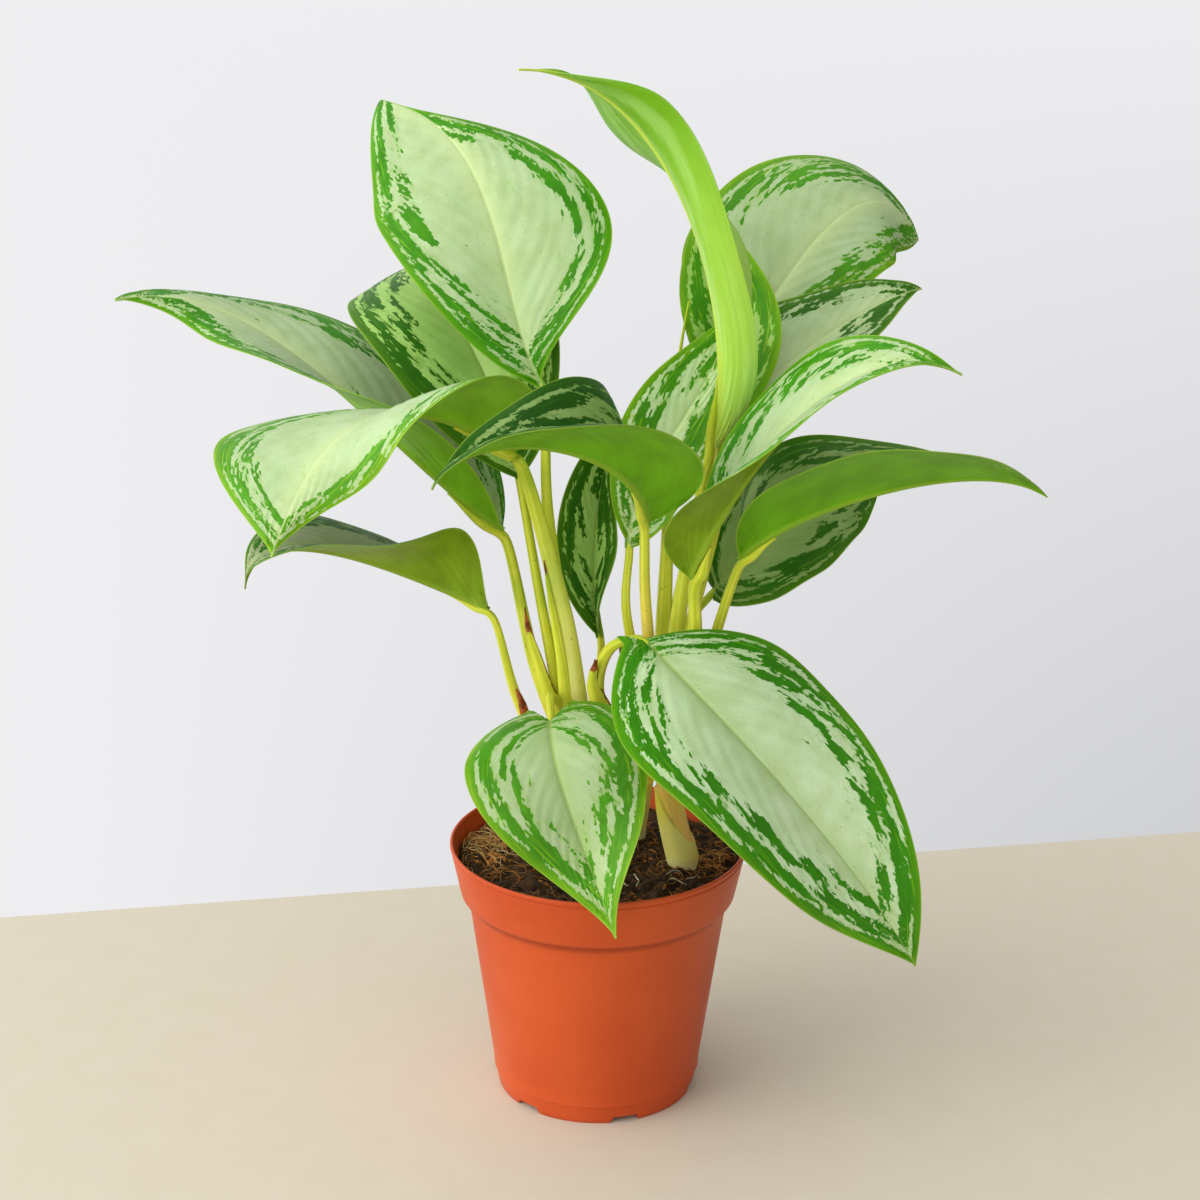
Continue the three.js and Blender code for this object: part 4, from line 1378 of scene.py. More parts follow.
@dataclass(frozen=True)
class StalkFinish:
    """Yellow-green stalks with fine lengthwise streaks, dry brown sheath ends and whitish felt at the soil.

    It reads stem_place (share of the length, share of the turn, radius) and stem_tone (how dry and brown,
    how orange, how pale).

    Attributes:
        skin: The stalks' own colour.
        streak: Paler streaks along them.
        cloud: Greener clouds.
        low: Yellower, lower down.
        pale: The thickest stalk.
        foot: Just above the soil.
        felt: The whitish felt at the soil.
        orange: The orange tinge of some stalks.
        dry: Dry sheath.
        burnt: Its darkest flecks.
        fleck: Scattered small flecks.
    """

    skin: str = "#BECB28"
    streak: str = "#E0E450"
    cloud: str = "#9CBC22"
    # low: Yellower, lower down: partly the stalks' own tone, partly painted light that lifts the leaves'
    # shade.
    low: str = "#ECE04E"
    # foot: Just above the soil, paler: partly the stalks' own tone, partly painted light that lifts the
    # leaves' shade.
    pale: str = "#E6E490"
    foot: str = "#E6E07C"
    felt: str = "#E2DCAE"
    orange: str = "#FFC46C"
    dry: str = "#A4552A"
    burnt: str = "#6A2E18"
    fleck: str = "#8A7A2A"

    # Heights in metres between which the stalks turn to their lower tones, which are partly painted light.
    LOW = (0.21, 0.14)
    FOOT = (0.128, 0.115)
    FELT = (0.108, 0.1)

    def make(self, name: str) -> bpy.types.Material:
        """Make the finish.

        Args:
            name: The material's name.

        Returns:
            The material.
        """
        s = Shader(name)
        share, turn, _ = s.mark("stem_place")
        dryness, orange, pale = s.mark("stem_tone")
        angle = s.times(turn, 2 * math.pi)
        around = s.vector(s.times(s.sum("COSINE", angle), 2.5), s.times(s.sum("SINE", angle), 2.5), share)
        streaks = s.noise(around, detail=3.0)
        clouds = s.noise(s.place(), 35.0, 3.0)
        fine = s.noise(s.place(), 420.0, 3.0)
        height = s.parts(s.place())[2]
        colour = s.mix(s.span(streaks, 0.35, 0.65), linear(self.skin), linear(self.streak))
        colour = s.mix(s.span(clouds, 0.45, 0.7, 0.0, 0.7), colour, linear(self.cloud))
        # Paler and yellower towards the foot: partly the stalks' own tone, partly painted light that brightens
        # them where the leaves above shade them.
        colour = s.mix(s.span(height, *self.LOW, 0.0, 0.75), colour, linear(self.low))
        colour = s.mix(s.times(pale, s.span(streaks, 0.3, 0.7, 0.8, 0.3)), colour, linear(self.pale))
        colour = s.mix(s.span(height, *self.FOOT), colour, linear(self.foot))
        felt = s.times(s.span(height, *self.FELT), s.span(fine, 0.35, 0.6, 0.2, 0.9))
        colour = s.mix(felt, colour, linear(self.felt))
        colour = s.mix(s.times(orange, s.span(clouds, 0.3, 0.6, 0.5, 1.0)), colour, linear(self.orange))
        brown = s.mix(s.span(fine, 0.4, 0.6), linear(self.dry), linear(self.burnt))
        edge = s.scale_add(s.minus(fine, 0.5), 0.9, dryness)
        colour = s.mix(s.span(edge, 0.35, 0.6), colour, brown)
        colour = s.mix(s.span(fine, 0.68, 0.74, 0.0, 0.6), colour, linear(self.fleck))
        relief = s.plus(streaks, s.times(clouds, 0.5))
        return s.finish(
            colour,
            0.42,
            Normal=s.bump(relief, 0.3),
            Specular_IOR_Level=0.35,
            Specular_Tint=(1.0, 1.0, 0.6, 1.0),
            Subsurface_Weight=0.12,
            Subsurface_Scale=0.002,
        )


@dataclass
class Shoot:
    """One shoot: its stems, the stalks of its leaves and their sheaths, as one piece.

    Attributes:
        name: left, right or back.
        rings: Equal steps along a stalk.
        sides: Vertices in a ring.
    """

    name: str
    rings: int = 56
    sides: int = 24

    END_RUN = 4.0  # straight end of a stalk before its blade
    GROOVE = 0.2  # depth of a stalk's groove as a share of its radius
    GROOVE_ANGLE = 0.55  # how wide the groove is, in radians
    PALE_RADIUS = 5.0  # a stalk this thick at its foot is a pale one
    WRAP_STEPS = (150, 96)  # rings and sides of a stem that a sheath's edge wraps
    LEDGE = 0.13  # how far the edge stands out, as a share of the radius
    BARE = 0.93  # the stem's own radius above the edge
    TINGE = (24, 6)  # heights above the edge between which the orange tinge grows downward
    SHEATH_THICKNESS = 0.5
    SHEATH_STEPS = (60, 9)
    SHEATH_BOW = 0.45

    def stalk(self, plan: LeafPlan) -> Skin:
        """Run a stalk up to its blade and on under the first stretch of the midrib, thinning out.

        Its groove takes GROOVE * e^(-(angle / GROOVE_ANGLE)^2) off the radius along its upper side.

        Args:
            plan: The leaf that it carries.

        Returns:
            A closed tube with a groove along its upper side.
        """
        under = np.array([0.0, 0.04, 0.09, 0.15])
        centre, _, _, up = Blade(plan).frames(under)
        stalk, last = np.array(plan.stalk, float), plan.radii[-1]
        arrival = unit(cubic_direction(plan.rib, np.zeros(1))[0] + unit(centre[0] - stalk[-1]))
        ends = centre - up * (last * np.array([0.7, 1.1, 0.9, 0.6]) + 0.2)[:, None]
        points = np.vstack([stalk, centre[0] - arrival * self.END_RUN - 0.6 * last * up[0], ends])
        path = smooth_path(points, self.rings)
        run = np.linspace(0, 1, self.rings + 1)
        radius = along(plan.radii, run / 0.88) * (1 - 0.75 * smooth(0.86, 1.0, run))
        radius = np.maximum(radius, 0.3 * last)
        stem = np.array(STEMS[self.name][0].path[-1], float)
        inward = unit(stem - path[-1] + np.array([0, 0, 90.0]))
        turn = 2 * np.pi * np.arange(self.sides) / self.sides
        bite = np.exp(-(((np.pi - np.abs(turn - np.pi)) / self.GROOVE_ANGLE) ** 2))
        outline = 1 - self.GROOVE * bite[None, :] * smooth(0.1, 0.6, run)[:, None]
        skin = tube(path, radius, inward, outline, self.sides)
        share = skin.marks["stem_place"][:, 0]
        orange = plan.look.orange * smooth(0.75, 0.3, share)
        pale = (plan.radii[0] >= self.PALE_RADIUS) * smooth(0.75, 0.2, share)
        skin.marks["stem_tone"] = np.stack([np.zeros_like(share), orange, pale], -1)
        return skin

    def stem(self, stem: Stem) -> Skin:
        """Make a round stem, and where an old sheath wraps it, the sheath's raised edge across its front.

        The edge's height falls from wrap's first height on the left to its second on the right, with a
        ripple, and the stem is BARE of its radius above the edge and LEDGE more below it.

        Args:
            stem: The stem.

        Returns:
            A closed tube.
        """
        rings, sides = self.WRAP_STEPS if stem.wrap else (self.rings, self.sides)
        path = smooth_path(list(stem.path), rings)
        radius = along(stem.radii, np.linspace(0, 1, rings + 1))
        outline, tinge = np.ones((rings + 1, sides)), np.zeros((rings + 1, sides))
        if stem.wrap:
            # The turn starts at the front and runs to the right, so the left is -1 and the right +1.
            turn = 2 * np.pi * np.arange(sides) / sides
            right = np.sin(turn)[None, :] + 0.25 * (np.cos(turn) - 1)[None, :]
            high, low = stem.wrap
            edge = (high + low) / 2 - (high - low) / 2 * np.clip(right, -1, 1) + 0.8 * np.sin(3 * right)
            above = path[:, 2][:, None] - edge
            bare = smooth(-0.3, 0.6, above)
            outline = self.BARE + self.LEDGE * (1 - bare) * smooth(low - 5, low - 1, path[:, 2])[:, None]
            tinge = bare * smooth(*self.TINGE, above)
        skin = tube(path, radius, np.array([0.0, -1.0, 0.1]), outline, sides)
        tone = np.zeros((rings + 1, sides, 3))
        tone[..., 1] = tinge
        skin.marks["stem_tone"] = np.vstack([tone.reshape(-1, 3), np.zeros((2, 3))])
        return skin

    def sheath(self, sheath: Sheath) -> Skin:
        """Make a sheath's wing: a thin strip that faces the front, bowed across and ragged at its end.

        A point is path + across * s * width + out * SHEATH_BOW * (1 - s^2) * width, s from -1 to 1.

        Args:
            sheath: The sheath.

        Returns:
            A closed skin.
        """
        rows, columns = self.SHEATH_STEPS
        path = smooth_path(list(sheath.path), rows - 1)
        tangent = unit(np.gradient(path, axis=0))
        across = unit(np.cross(tangent, np.array([0.0, -1.0, 0.25])))[:, None]
        out = np.cross(across, tangent[:, None])
        share, s = np.linspace(0, 1, rows), np.linspace(-1, 1, columns)
        ragged = 1 + 0.16 * np.sin(31 * share) * smooth(0.6, 1, share)
        width = (along(sheath.half_widths, share) * ragged)[:, None]
        bow = self.SHEATH_BOW * (1 - s[None, :] ** 2) * width
        middle = path[:, None] + across * (s[None, :] * width)[..., None] + out * bow[..., None]
        half = out * self.SHEATH_THICKNESS / 2
        dry = smooth(sheath.dry - 0.08, sheath.dry + 0.12, share)[:, None] + 0 * s[None, :]
        rust = 0.75 * sheath.rusty * smooth(0.6, 1, s)[None, :] * smooth(0.1, 0.4, share)[:, None]
        dry = np.maximum(dry, rust)
        place = np.stack(np.broadcast_arrays(share[:, None], 0.25 + 0.1 * s[None, :], width), -1)
        tone = np.stack([dry, np.zeros_like(dry), np.zeros_like(dry)], -1)
        return sheet(middle - half, middle + half, {"stem_place": place, "stem_tone": tone}, 0)

    def build(self) -> bpy.types.Object:
        """Add the shoot to the scene in place of its CAD node.

        Returns:
            The object.
        """
        stems = [self.stem(s) for s in STEMS[self.name]]
        stalks = [self.stalk(plan) for plan in LEAVES if plan.shoot == self.name]
        sheaths = [self.sheath(s) for s in SHEATHS[self.name]]
        name = f"stalks_{self.name}"
        skin = join(stems + stalks + sheaths)
        return add_piece(name, skin, [StalkFinish().make(name)], (f"shoot_{self.name}",))


# ---- Pot and soil ---------------------------------------------------------------------------


@dataclass(frozen=True)
class PotFinish:
    """The pot's satin orange-brown plastic, faintly mottled and grained, with painted shade in a line under
    the collar.

    Attributes:
        plastic: Its colour.
        mottle: Its darker clouds.
        grain: Its fine paler grain.
        collar_shade_and_soil_dust: Painted shade, a darker line under the collar where its overhang shades the
            body.
        collar_foot: The height of the collar's lower edge, in metres.
    """

    collar_foot: float
    plastic: str = "#C95427"
    mottle: str = "#BE4920"
    grain: str = "#DB6238"
    collar_shade_and_soil_dust: str = "#7A2A12"

    def make(self, name: str) -> bpy.types.Material:
        """Make the finish.

        Args:
            name: The material's name.

        Returns:
            The material.
        """
        s = Shader(name)
        at, foot = s.place(), self.collar_foot
        clouds = s.noise(at, 18.0, 4.0)
        fine = s.noise(at, 900.0, 3.0)
        rings = s.noise(s.scaled(at, (30, 30, 900)))
        colour = s.mix(s.span(clouds, 0.3, 0.7), linear(self.plastic), linear(self.mottle))
        colour = s.mix(s.span(fine, 0.55, 0.8, 0.0, 0.3), colour, linear(self.grain))
        z = s.parts(at)[2]
        # Painted shade: a darker band just below the collar's lower edge, where the overhang shades the body.
        collar_shade_and_soil_dust = s.times(s.span(z, foot - 0.004, foot - 0.0016), s.span(z, foot - 0.0006, foot + 0.0002, 1, 0))
        colour = s.mix(s.times(collar_shade_and_soil_dust, 0.5), colour, linear(self.collar_shade_and_soil_dust))
        height = s.plus(s.times(fine, 0.7), s.times(rings, 0.3))
        return s.finish(
            colour,
            s.span(clouds, 0.3, 0.7, 0.4, 0.5),
            Normal=s.bump(height, 0.08),
            Specular_IOR_Level=0.35,
            Specular_Tint=(1.0, 0.7, 0.5, 1.0),
        )


@dataclass
class Pot:
    """The nursery pot: a thin lathed wall with a collar, a moulded line and a notched foot ring.

    Attributes:
        height: From the foot to the rim's top.
        rim: The rim's outer radius.
        band: The collar's height.
        band_foot: Its radius at its lower edge.
        body_top: The body's radius just below it.
        foot: The foot's radius.
        wall: The wall's thickness.
        ring: The foot ring's width.
        lift: How high the floor's channel is raised.
        floor: The floor's thickness.
        disc: Radius of the floor's flat middle.
        line: Height of the moulded line.
        notches: How many notches the foot ring has.
        notch_turn: Degrees from the front to the first, towards +X.
        notch_width: Their width.
        notch_height: Their height.
        sides: Vertices round the pot.
    """

    height: float = 107.0
    rim: float = 60.0
    band: float = 22.0
    band_foot: float = 56.0
    body_top: float = 52.8
    foot: float = 41.0
    wall: float = 1.4
    ring: float = 3.0
    lift: float = 3.0
    floor: float = 1.6
    disc: float = 22.0
    line: float = 8.0
    notches: int = 6
    notch_turn: float = 17.0
    notch_width: float = 11.0
    notch_height: float = 2.6
    sides: int = 240

    COLLAR_START = 2.4  # where the collar's plain slope begins and ends, from its own edges
    COLLAR_END = 0.7
    CREASE = 40

    def inner(self, z: float) -> float:
        """Give the inner radius of the body at a height."""
        return self.foot + (self.body_top - self.foot) * z / (self.height - self.band) - self.wall

    def collar_rise(self) -> float:
        """Give the height of the collar's plain slope."""
        return self.band - self.COLLAR_START - self.COLLAR_END

    def profile(self) -> Array:
        """Trace the wall's section from the middle underneath, up the outside and down to the middle inside.

        Returns:
            One (radius, height) row for each point.
        """
        band_foot = self.height - self.band
        slope = (self.body_top - self.foot) / band_foot
        ring = self.foot - self.ring
        top = self.lift + self.floor
        under = [(0, 0), (self.disc, 0), (self.disc + 2, self.lift), (ring, self.lift)]
        under += [(ring, self.notch_height + 0.2), (ring, 0.3), (ring + 0.3, 0)]
        in_line, out_line = self.foot - 0.4, self.foot + 0.35 + slope * self.line
        below_line = [(self.foot - 0.8, 0), (in_line, 0.4), (in_line + slope * 2.8, 2.8)]
        below_line += [(in_line + slope * self.line, self.line)]
        line = [(out_line, self.line + 0.3), (out_line, self.line + 0.9)]
        body = [(self.foot + slope * z, z) for z in np.linspace(self.line + 1.5, band_foot - 0.8, 14)]
        shoulder = [(self.body_top + 0.15, band_foot - 0.2), (self.body_top + 0.9, band_foot + 0.15)]
        shoulder += [(self.band_foot - 1.0, band_foot + 0.5), (self.band_foot - 0.3, band_foot + 1.2)]
        start, rise = band_foot + self.COLLAR_START, self.collar_rise()
        collar = [
            (self.band_foot + (self.rim - self.band_foot) * k, start + rise * k)
            for k in (0.0, *np.linspace(0.15, 0.84, 8))
        ]
        grooves = ((0.55, 3.2), (0.85, 2.9), (0.85, 2.5), (0.3, 2.1), (0.02, 1.4))
        below_rim = [(self.rim - inset, self.height - down) for inset, down in grooves]
        lip, turn = self.wall / 2, np.linspace(0, np.pi, 9)
        arc = [(self.rim - lip + lip * np.cos(a), self.height - lip + lip * np.sin(a)) for a in turn]
        inside = [(self.band_foot - self.wall + 0.4, band_foot + 6)]
        inside += [(self.band_foot - self.wall, band_foot + 4.4), (self.inner(band_foot), band_foot - 1)]
        inside += [(self.inner(40), 40), (self.inner(top) - 0.6, top + 1.4), (self.inner(top) - 3, top)]
        inside += [(self.disc + 2, top), (self.disc, self.floor), (0, self.floor)]
        return np.array(under + below_line + line + body + shoulder + collar + below_rim + arc + inside, float)

    def skin(self) -> Skin:
        """Lathe the profile, and lift the foot ring's lower edge where a notch is.

        A point of the profile goes round as (radius cos a, radius sin a, height), a from 0 to a full turn.

        Returns:
            A closed skin.
        """
        profile = self.profile()[1:-1]
        turn = 2 * np.pi * np.arange(self.sides) / self.sides
        radius, z = profile[:, 0][:, None], profile[:, 1][:, None]
        spacing = 2 * np.pi / self.notches
        away = np.abs((turn - math.radians(self.notch_turn - 90) + spacing / 2) % spacing - spacing / 2)
        cut = 1 - smooth(self.notch_width / 2 - 0.5, self.notch_width / 2 + 0.5, away * self.foot)
        ringed = (radius > self.foot - self.ring - 0.1) & (z < 1)
        z = z + self.notch_height * cut[None, :] * ringed * (1 - 0.1 * z)
        points = np.stack(np.broadcast_arrays(radius * np.cos(turn), radius * np.sin(turn), z), -1)
        rings = len(profile)
        middle = np.array([[0, 0, 0.0], [0, 0, self.floor]])
        return Skin(
            np.vstack([points.reshape(-1, 3), middle]),
            grid_quads(rings, self.sides, True),
            fans(self.sides, (rings - 1) * self.sides, rings * self.sides),
        )

    def build(self) -> bpy.types.Object:
        """Add the pot to the scene in place of its CAD node.

        Returns:
            The object.
        """
        plastic = PotFinish((self.height - self.band) * MM).make("pot_plastic")
        return add_piece("nursery_pot", self.skin(), [plastic], ("pot",), self.CREASE)


@dataclass(frozen=True)
class Litter:
    """A sprinkling of fibres, chips or roots on the soil.

    Attributes:
        count: How many.
        middle: Where most of them lie, or None for all over.
        spread: How far they scatter about it.
        length: Shortest and longest.
        radius: Thinnest and thickest.
        tone: Darkest and palest, 0 being dark brown, 0.5 tan and 1 white.
        lift: How high they arch over the soil.
    """

    count: int
    middle: tuple[float, float] | None
    spread: float
    length: tuple[float, float]
    radius: tuple[float, float]
    tone: tuple[float, float]
    lift: float


LITTER = (
    Litter(420, None, 0, (3, 12), (0.08, 0.18), (0.15, 0.5), 1.2),
    Litter(160, None, 0, (1.5, 4), (0.25, 0.7), (0.1, 0.42), 0.2),
    Litter(110, (-46, 13), 6, (8, 18), (0.12, 0.24), (0.5, 0.85), 3.0),
    Litter(24, (-42, -12), 7, (7, 14), (0.12, 0.2), (0.5, 0.8), 2.0),
    Litter(9, (-44, -4), 3, (3, 5.5), (0.5, 0.9), (0.45, 0.6), 0.8),
    Litter(7, (11, -23), 4, (9, 17), (0.22, 0.38), (0.85, 1.0), 2.4),
    Litter(4, (31, -22), 3, (5, 9), (0.15, 0.25), (0.85, 1.0), 1.6),
    Litter(80, (43, -6), 6, (4, 11), (0.12, 0.3), (0.4, 0.75), 2.0),
)


@dataclass(frozen=True)
class SoilFinish:
    """Dark crumbly peat and its litter, from litter_tone (tone, whether litter, share of length).

    Attributes:
        peat: The peat's dark.
        crumb: Its browner crumbs.
        collar_shade_and_soil_dust: Its finest pale grains.
        bark: The darkest litter.
        straw: Litter of tone 0.5.
        pale_straw: Litter of tone 0.75.
        root: Litter of tone 1.
        soiled: Peat that sticks to the litter.
    """

    peat: str = "#21160C"
    crumb: str = "#50371F"
    collar_shade_and_soil_dust: str = "#8A683C"
    bark: str = "#3E2812"
    straw: str = "#C0813C"
    pale_straw: str = "#D6B274"
    root: str = "#EFE6CE"
    soiled: str = "#5A3A1C"

    def make(self, name: str) -> bpy.types.Material:
        """Make the finish.

        Args:
            name: The material's name.

        Returns:
            The material.
        """
        s = Shader(name)
        tone, litter, _ = s.mark("litter_tone")
        at = s.place()
        lumps = s.noise(at, 260.0, 5.0, 0.65)
        fine = s.noise(at, 1400.0, 3.0)
        colour = s.mix(s.span(lumps, 0.35, 0.7), linear(self.peat), linear(self.crumb))
        colour = s.mix(s.span(fine, 0.6, 0.8, 0.0, 0.7), colour, linear(self.collar_shade_and_soil_dust))
        straw = s.mix(s.span(tone, 0.0, 0.5), linear(self.bark), linear(self.straw))
        straw = s.mix(s.span(tone, 0.5, 0.75), straw, linear(self.pale_straw))
        straw = s.mix(s.span(tone, 0.75, 0.95), straw, linear(self.root))
        straw = s.mix(s.span(lumps, 0.3, 0.7, 0.0, 0.5), straw, linear(self.soiled))
        colour = s.mix(litter, colour, straw)
        height = s.times(s.plus(lumps, s.times(fine, 0.4)), s.scale_add(litter, -0.8, 1.0))
        return s.finish(colour, 0.9, Normal=s.bump(height, 1.2), Specular_IOR_Level=0.25)


@dataclass
class Soil:
    """The root ball's loose top: crumbs, fibres, chips and a few roots.

    Attributes:
        pot: The pot that holds it.
        top: Mean height of its top.
        rings: Rings of vertices.
        sides: Vertices in a ring.
    """

    pot: Pot
    top: float = 99.4
    rings: int = 110
    sides: int = 260

    CRUMBS = 900
    CRUMB_SIZE = (0.8, 3.2)
    CRUMB_RISE = 0.7  # how far a crumb stands out, as a share of its half sphere
    MOUND = (35, -11)  # the middle of the mound at the right stem
    MOUND_HEIGHT = 2.2
    MOUND_SPREAD = 140  # the square of the distance over which it falls away
    FLOOR_DEPTH = 1.2  # how far the ground between the crumbs lies below the mean
    SHELF = (0.955, 90.0)  # its side's middle ring and its bottom: share of the radius and height
    BOTTOM = (0.9, 80.0)
    GAP = 0.3  # air between it and the pot's wall
    LITTER_STEPS = 8
    LITTER_SIDES = 4  # so that each end is one quad
    LITTER_TURN = 0.45  # radians that a piece's heading strays in a step
    LITTER_GAP = 1.5  # air between the litter and the soil's edge

    def edge(self) -> float:
        """Work out where the soil's top meets the collar's slope inside.

        Returns:
            Its radius there, less GAP.
        """
        pot = self.pot
        share = (self.top - (pot.height - pot.band) - pot.COLLAR_START) / pot.collar_rise()
        return pot.band_foot + (pot.rim - pot.band_foot) * share - pot.wall - self.GAP

    def height(self, x: Array, y: Array) -> Array:
        """Give the top's height: broad swells, a mound at the right stem and the tops of many crumbs.

        A crumb of radius r adds CRUMB_RISE sqrt(r^2 - d^2) where the distance d to its middle is below r.

        Args:
            x: Places across, as a flat list.
            y: Places away from the front.

        Returns:
            Heights in millimetres.
        """
        random = np.random.default_rng(SEED)
        around, out = random.uniform(0, 2 * np.pi, self.CRUMBS), np.sqrt(random.uniform(0, 1, self.CRUMBS))
        crumb_x, crumb_y = self.edge() * out * np.cos(around), self.edge() * out * np.sin(around)
        size = random.uniform(*self.CRUMB_SIZE, self.CRUMBS)
        swell = 0.6 * np.sin(x / 9 + 1) * np.cos(y / 7) + 0.4 * np.sin(x / 4.1 + y / 5.3)
        from_mound = (x - self.MOUND[0]) ** 2 + (y - self.MOUND[1]) ** 2
        mound = self.MOUND_HEIGHT * np.exp(-from_mound / self.MOUND_SPREAD)
        bumps = np.zeros_like(x)
        for block in np.array_split(np.arange(len(x)), 12):
            away = (x[block, None] - crumb_x) ** 2 + (y[block, None] - crumb_y) ** 2
            bumps[block] = self.CRUMB_RISE * np.sqrt(np.maximum(size**2 - away, 0)).max(axis=1)
        return self.top - self.FLOOR_DEPTH + swell + mound + bumps

    def ground(self) -> Skin:
        """Make the top, its side down the pot's wall and a flat bottom.

        A ring's points are (reach cos a, reach sin a, height), a from 0 to a full turn.

        Returns:
            A closed skin.
        """
        turn = 2 * np.pi * np.arange(self.sides) / self.sides
        (shelf, shelf_z), (bottom, bottom_z) = self.SHELF, self.BOTTOM
        reach = np.concatenate([np.linspace(0.01, 1, self.rings), [shelf, bottom]]) * self.edge()
        x, y = reach[:, None] * np.cos(turn), reach[:, None] * np.sin(turn)
        z = self.height(x.ravel(), y.ravel()).reshape(x.shape)
        z[-2:] = np.array([[shelf_z], [bottom_z]])
        points = np.stack([x, y, z], -1).reshape(-1, 3)
        rows = len(reach)
        base = (rows - 1) * self.sides
        middle = np.array([[0, 0, z[0].mean()], [0, 0, bottom_z]])
        return Skin(
            np.vstack([points, middle]),
            grid_quads(rows, self.sides, True)[:, ::-1],
            fans(self.sides, base, rows * self.sides)[:, ::-1],
            marks={"litter_tone": np.zeros((len(points) + 2, 3))},
        )

    def wander(self, litter: Litter, random: np.random.Generator) -> Array:
        """Let each piece of a sprinkling wander over the ground from its start, and keep it in the pot.

        Args:
            litter: What to lay out.
            random: The source of its random numbers.

        Returns:
            Points across and away from the front, pieces by steps.
        """
        count, steps = litter.count, self.LITTER_STEPS
        if litter.middle is None:
            around, out = random.uniform(0, 2 * np.pi, count), np.sqrt(random.uniform(0, 1, count))
            start = 0.97 * self.edge() * out[:, None] * np.stack([np.cos(around), np.sin(around)], -1)
        else:
            start = np.array(litter.middle, float) + random.normal(0, litter.spread, (count, 2))
        length = random.uniform(*litter.length, count)[:, None]
        heading = random.uniform(0, 2 * np.pi, (count, 1))
        heading = heading + np.cumsum(random.normal(0, self.LITTER_TURN, (count, steps)), 1)
        stride = (length / (steps - 1))[..., None]
        flat = np.stack([np.cos(heading), np.sin(heading)], -1) * stride
        flat = np.cumsum(flat, 1) - 0.5 * flat.sum(1, keepdims=True) + start[:, None]
        out = np.linalg.norm(flat, axis=-1, keepdims=True)
        return flat * np.minimum(1, (self.edge() - self.LITTER_GAP) / np.maximum(out, 1e-6))

    def scatter(self, litter: Litter, seed: int) -> Skin:
        """Lay out one sprinkling: each piece arches over the soil as a sine and has a few flat sides.

        Args:
            litter: What to lay out.
            seed: Starts its random numbers.

        Returns:
            A skin of closed pieces.
        """
        random = np.random.default_rng(seed)
        count, steps, sides = litter.count, self.LITTER_STEPS, self.LITTER_SIDES
        flat = self.wander(litter, random)
        share = np.linspace(0, 1, steps)[None, :]
        arch = litter.lift * random.uniform(0, 1, (count, 1)) * np.sin(np.pi * share)
        radius = random.uniform(*litter.radius, count)[:, None] * (0.35 + 0.65 * np.sin(np.pi * share) ** 0.5)
        ground = self.height(flat[..., 0].ravel(), flat[..., 1].ravel()).reshape(count, steps)
        z = ground + arch + 0.6 * radius
        z[:, 1:-1] = (z[:, :-2] + z[:, 1:-1] + z[:, 2:]) / 3
        path = np.concatenate([flat, z[..., None]], -1)
        tangent = unit(np.gradient(path, axis=1))
        side = unit(np.cross(tangent, [0, 0, 1.0]))
        second = np.cross(side, tangent)
        turn = 2 * np.pi * np.arange(sides)[:, None] / sides
        ring = side[:, :, None] * np.cos(turn) + second[:, :, None] * np.sin(turn)
        points = (path[:, :, None] + radius[..., None, None] * ring).reshape(-1, 3)
        ends = np.array([[0, 3, 2, 1], [0, 1, 2, 3]]) + [[0], [sides * (steps - 1)]]
        one = np.vstack([grid_quads(steps, sides, True), ends])
        quads = (one[None] + sides * steps * np.arange(count)[:, None, None]).reshape(-1, 4)
        tone = np.repeat(random.uniform(*litter.tone, count), sides * steps)
        mark = np.stack([tone, np.ones_like(tone), np.tile(np.repeat(share[0], sides), count)], -1)
        return Skin(points, quads, marks={"litter_tone": mark})

    def build(self) -> bpy.types.Object:
        """Add the soil to the scene in place of its CAD node.

        Returns:
            The object.
        """
        litter = [self.scatter(sprinkling, SEED + k) for k, sprinkling in enumerate(LITTER, 1)]
        skin = join([self.ground()] + litter)
        return add_piece("potting_soil", skin, [SoilFinish().make("peat")], ("soil",))


# ---- Camera, light and table ----------------------------------------------------------------


@dataclass(frozen=True)
class TableFinish:
    """The table's matt off-white, faintly clouded.

    Attributes:
        pale: Its colour.
        clouds: Its slightly darker clouds.
    """

    pale: str = "#D5CDBD"
    clouds: str = "#D0C7B5"

    def make(self, name: str) -> bpy.types.Material:
        """Make the finish.

        Args:
            name: The material's name.

        Returns:
            The material.
        """
        s = Shader(name)
        colour = s.mix(s.noise(s.place(), 60.0, 3.0), linear(self.pale), linear(self.clouds))
        return s.finish(colour, 0.75, Specular_IOR_Level=0.3)


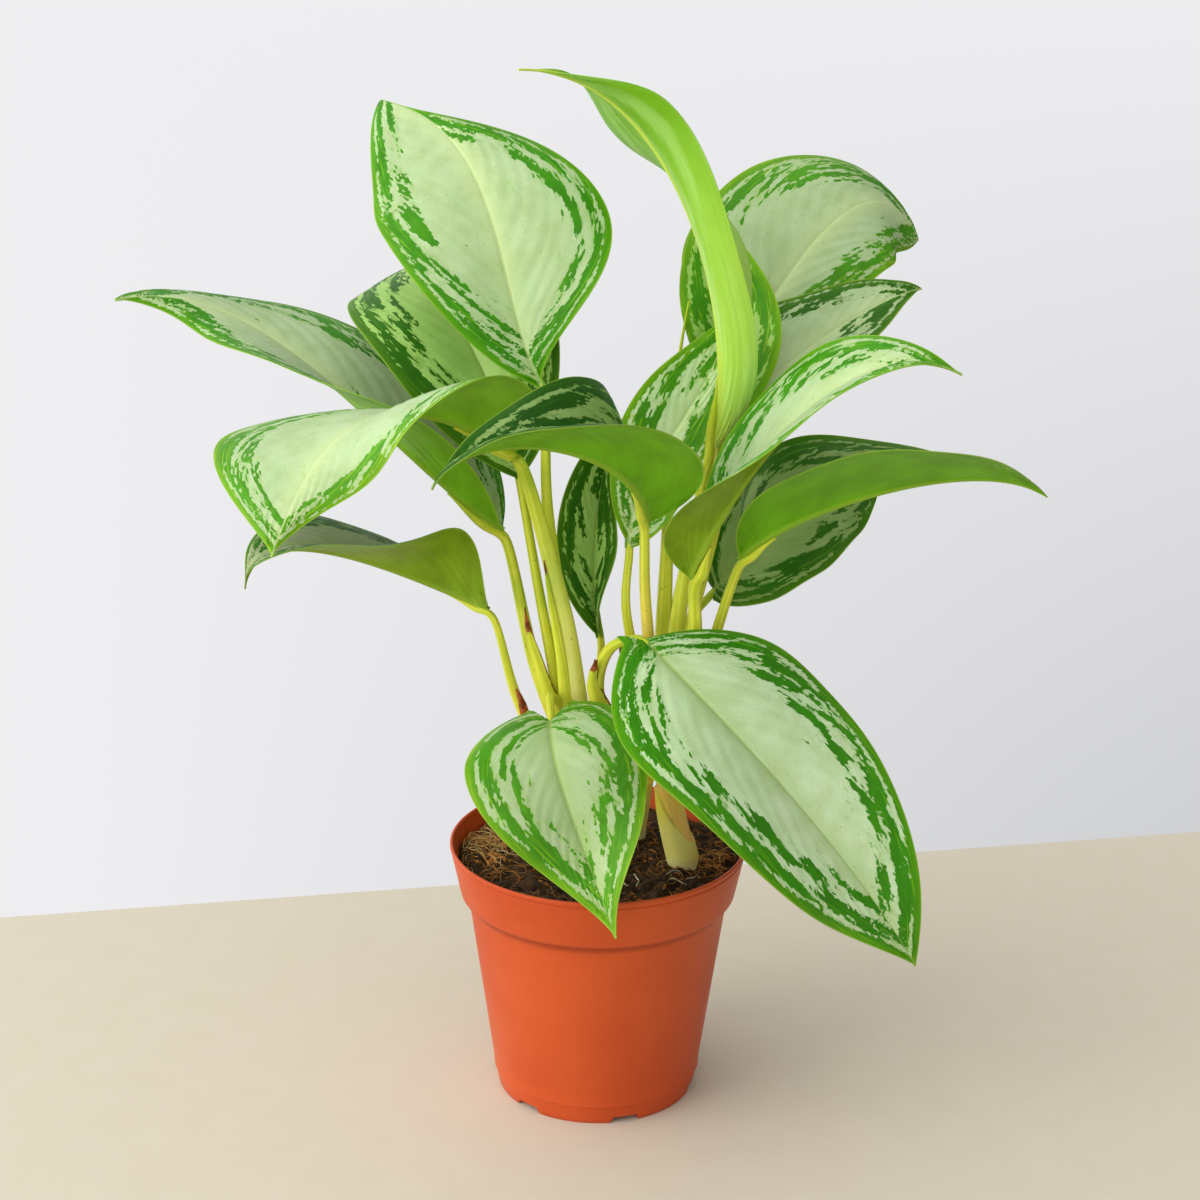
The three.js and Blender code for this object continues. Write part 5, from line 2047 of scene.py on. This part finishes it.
@dataclass
class Studio:
    """The photograph's viewpoint, a pale table and soft light from the front left.

    Attributes:
        eye: The camera's place.
        dip: Degrees that it looks down.
        roll: Degrees that it is turned about its own axis.
        lens: Focal length in millimetres.
        sensor: The sensor's width in millimetres.
    """

    eye: Point = (-0.2, -920.0, 521.0)
    dip: float = 18.72
    roll: float = 0.53
    lens: float = 74.4
    sensor: float = 36.0

    TABLE = ((-1500, -90), (1500, 480), (1500, -2600), (-1500, -2600))  # its corners
    PLANT_MIDDLE = (0.0, 0.0, 200.0)
    KEY = (-1300, -700, 900)  # the soft light's place
    KEY_COLOUR = "#FFFBF4"
    WALL = "#EEEEF0"
    WALL_SHADED_LOWER_RIGHT = "#CDCED0"
    WALL_LIGHT = "#FBFBF8"

    def camera(self) -> bpy.types.Object:
        """Place the camera: it looks along +Y, dipped and then rolled.

        Returns:
            The camera.
        """
        data = bpy.data.cameras.new("viewpoint")
        data.lens, data.sensor_width, data.clip_start, data.clip_end = self.lens, self.sensor, 0.01, 50.0
        made = bpy.data.objects.new("viewpoint", data)
        dip = Matrix.Rotation(math.radians(90 - self.dip), 4, "X")
        roll = Matrix.Rotation(math.radians(self.roll), 4, "Z")
        made.matrix_world = Matrix.Translation(np.array(self.eye) * MM) @ dip @ roll
        bpy.context.scene.collection.objects.link(made)
        bpy.context.scene.camera = made
        return made

    def table(self) -> None:
        """Lay the pale table, with its far edge where the backdrop begins."""
        corners = np.pad(np.array(self.TABLE, float), ((0, 0), (0, 1))) * MM
        mesh = bpy.data.meshes.new("table")
        mesh.from_pydata(corners.tolist(), [], [(0, 3, 2, 1)])
        made = bpy.data.objects.new("table", mesh)
        bpy.context.scene.collection.objects.link(made)
        mesh.materials.append(TableFinish().make("table_top"))

    def light(self, name: str, place: Point, size: float, watts: float, tone: str) -> None:
        """Hang a square soft light that looks at the plant's middle.

        Args:
            name: Its name.
            place: Where it hangs, in millimetres.
            size: Its side, in metres.
            watts: Its power.
            tone: Its colour.
        """
        data = bpy.data.lights.new(name, "AREA")
        data.shape, data.size, data.energy, data.color = "SQUARE", size, watts, linear(tone)[:3]
        made = bpy.data.objects.new(name, data)
        at = np.array(place) * MM
        back = unit(at - np.array(self.PLANT_MIDDLE) * MM)
        side = unit(np.cross([0, 0, 1.0], back))
        axes = np.stack([side, np.cross(back, side), back], 1)
        made.matrix_world = Matrix.Translation(at) @ Matrix(axes.tolist()).to_4x4()
        bpy.context.scene.collection.objects.link(made)

    def backdrop(self) -> None:
        """Make the pale backdrop, with painted shade greying it towards the lower right, and a soft light,
        stronger from the left.
        """
        world = bpy.data.worlds.new("backdrop")
        bpy.context.scene.world = world
        world.use_nodes = True
        g = Graph(world.node_tree)
        x, y, z = g.parts(g.node("ShaderNodeTexCoord").outputs["Generated"])
        # Painted shade: the backdrop that the camera sees greys towards the lower right, where the light falls
        # off.
        right = g.scale_add(x, 2.5, 0.5)
        low = g.scale_add(z, -2.7, -0.2)
        wall = g.mix(g.times(right, low), linear(self.WALL), linear(self.WALL_SHADED_LOWER_RIGHT))
        level = g.scale_add(y, -0.3, g.scale_add(z, 0.25, 0.85))
        strength = g.scale_add(x, -0.75, level)
        seen, cast = g.node("ShaderNodeBackground"), g.node("ShaderNodeBackground")
        g.fill(seen, Color=wall)
        g.fill(cast, Color=linear(self.WALL_LIGHT), Strength=strength)
        is_seen = g.node("ShaderNodeLightPath").outputs["Is Camera Ray"]
        both = g.node("ShaderNodeMixShader", (is_seen, cast.outputs[0], seen.outputs[0]))
        g.node("ShaderNodeOutputWorld", (both.outputs[0],))

    def build(self) -> None:
        """Set up camera, table, backdrop and lights."""
        self.camera()
        self.table()
        self.backdrop()
        self.light("key", self.KEY, 1.2, 12, self.KEY_COLOUR)
        bpy.context.scene.view_settings.view_transform = "Standard"


def main() -> None:
    """Build the plant piece by piece."""
    logging.basicConfig(level=logging.INFO, format="%(name)s %(message)s")
    Studio().build()
    pot = Pot()
    pot.build()
    Soil(pot).build()
    for name in STEMS:
        Shoot(name).build()
    for plan in LEAVES:
        Blade(plan).build()


if __name__ == "__main__":
    main()
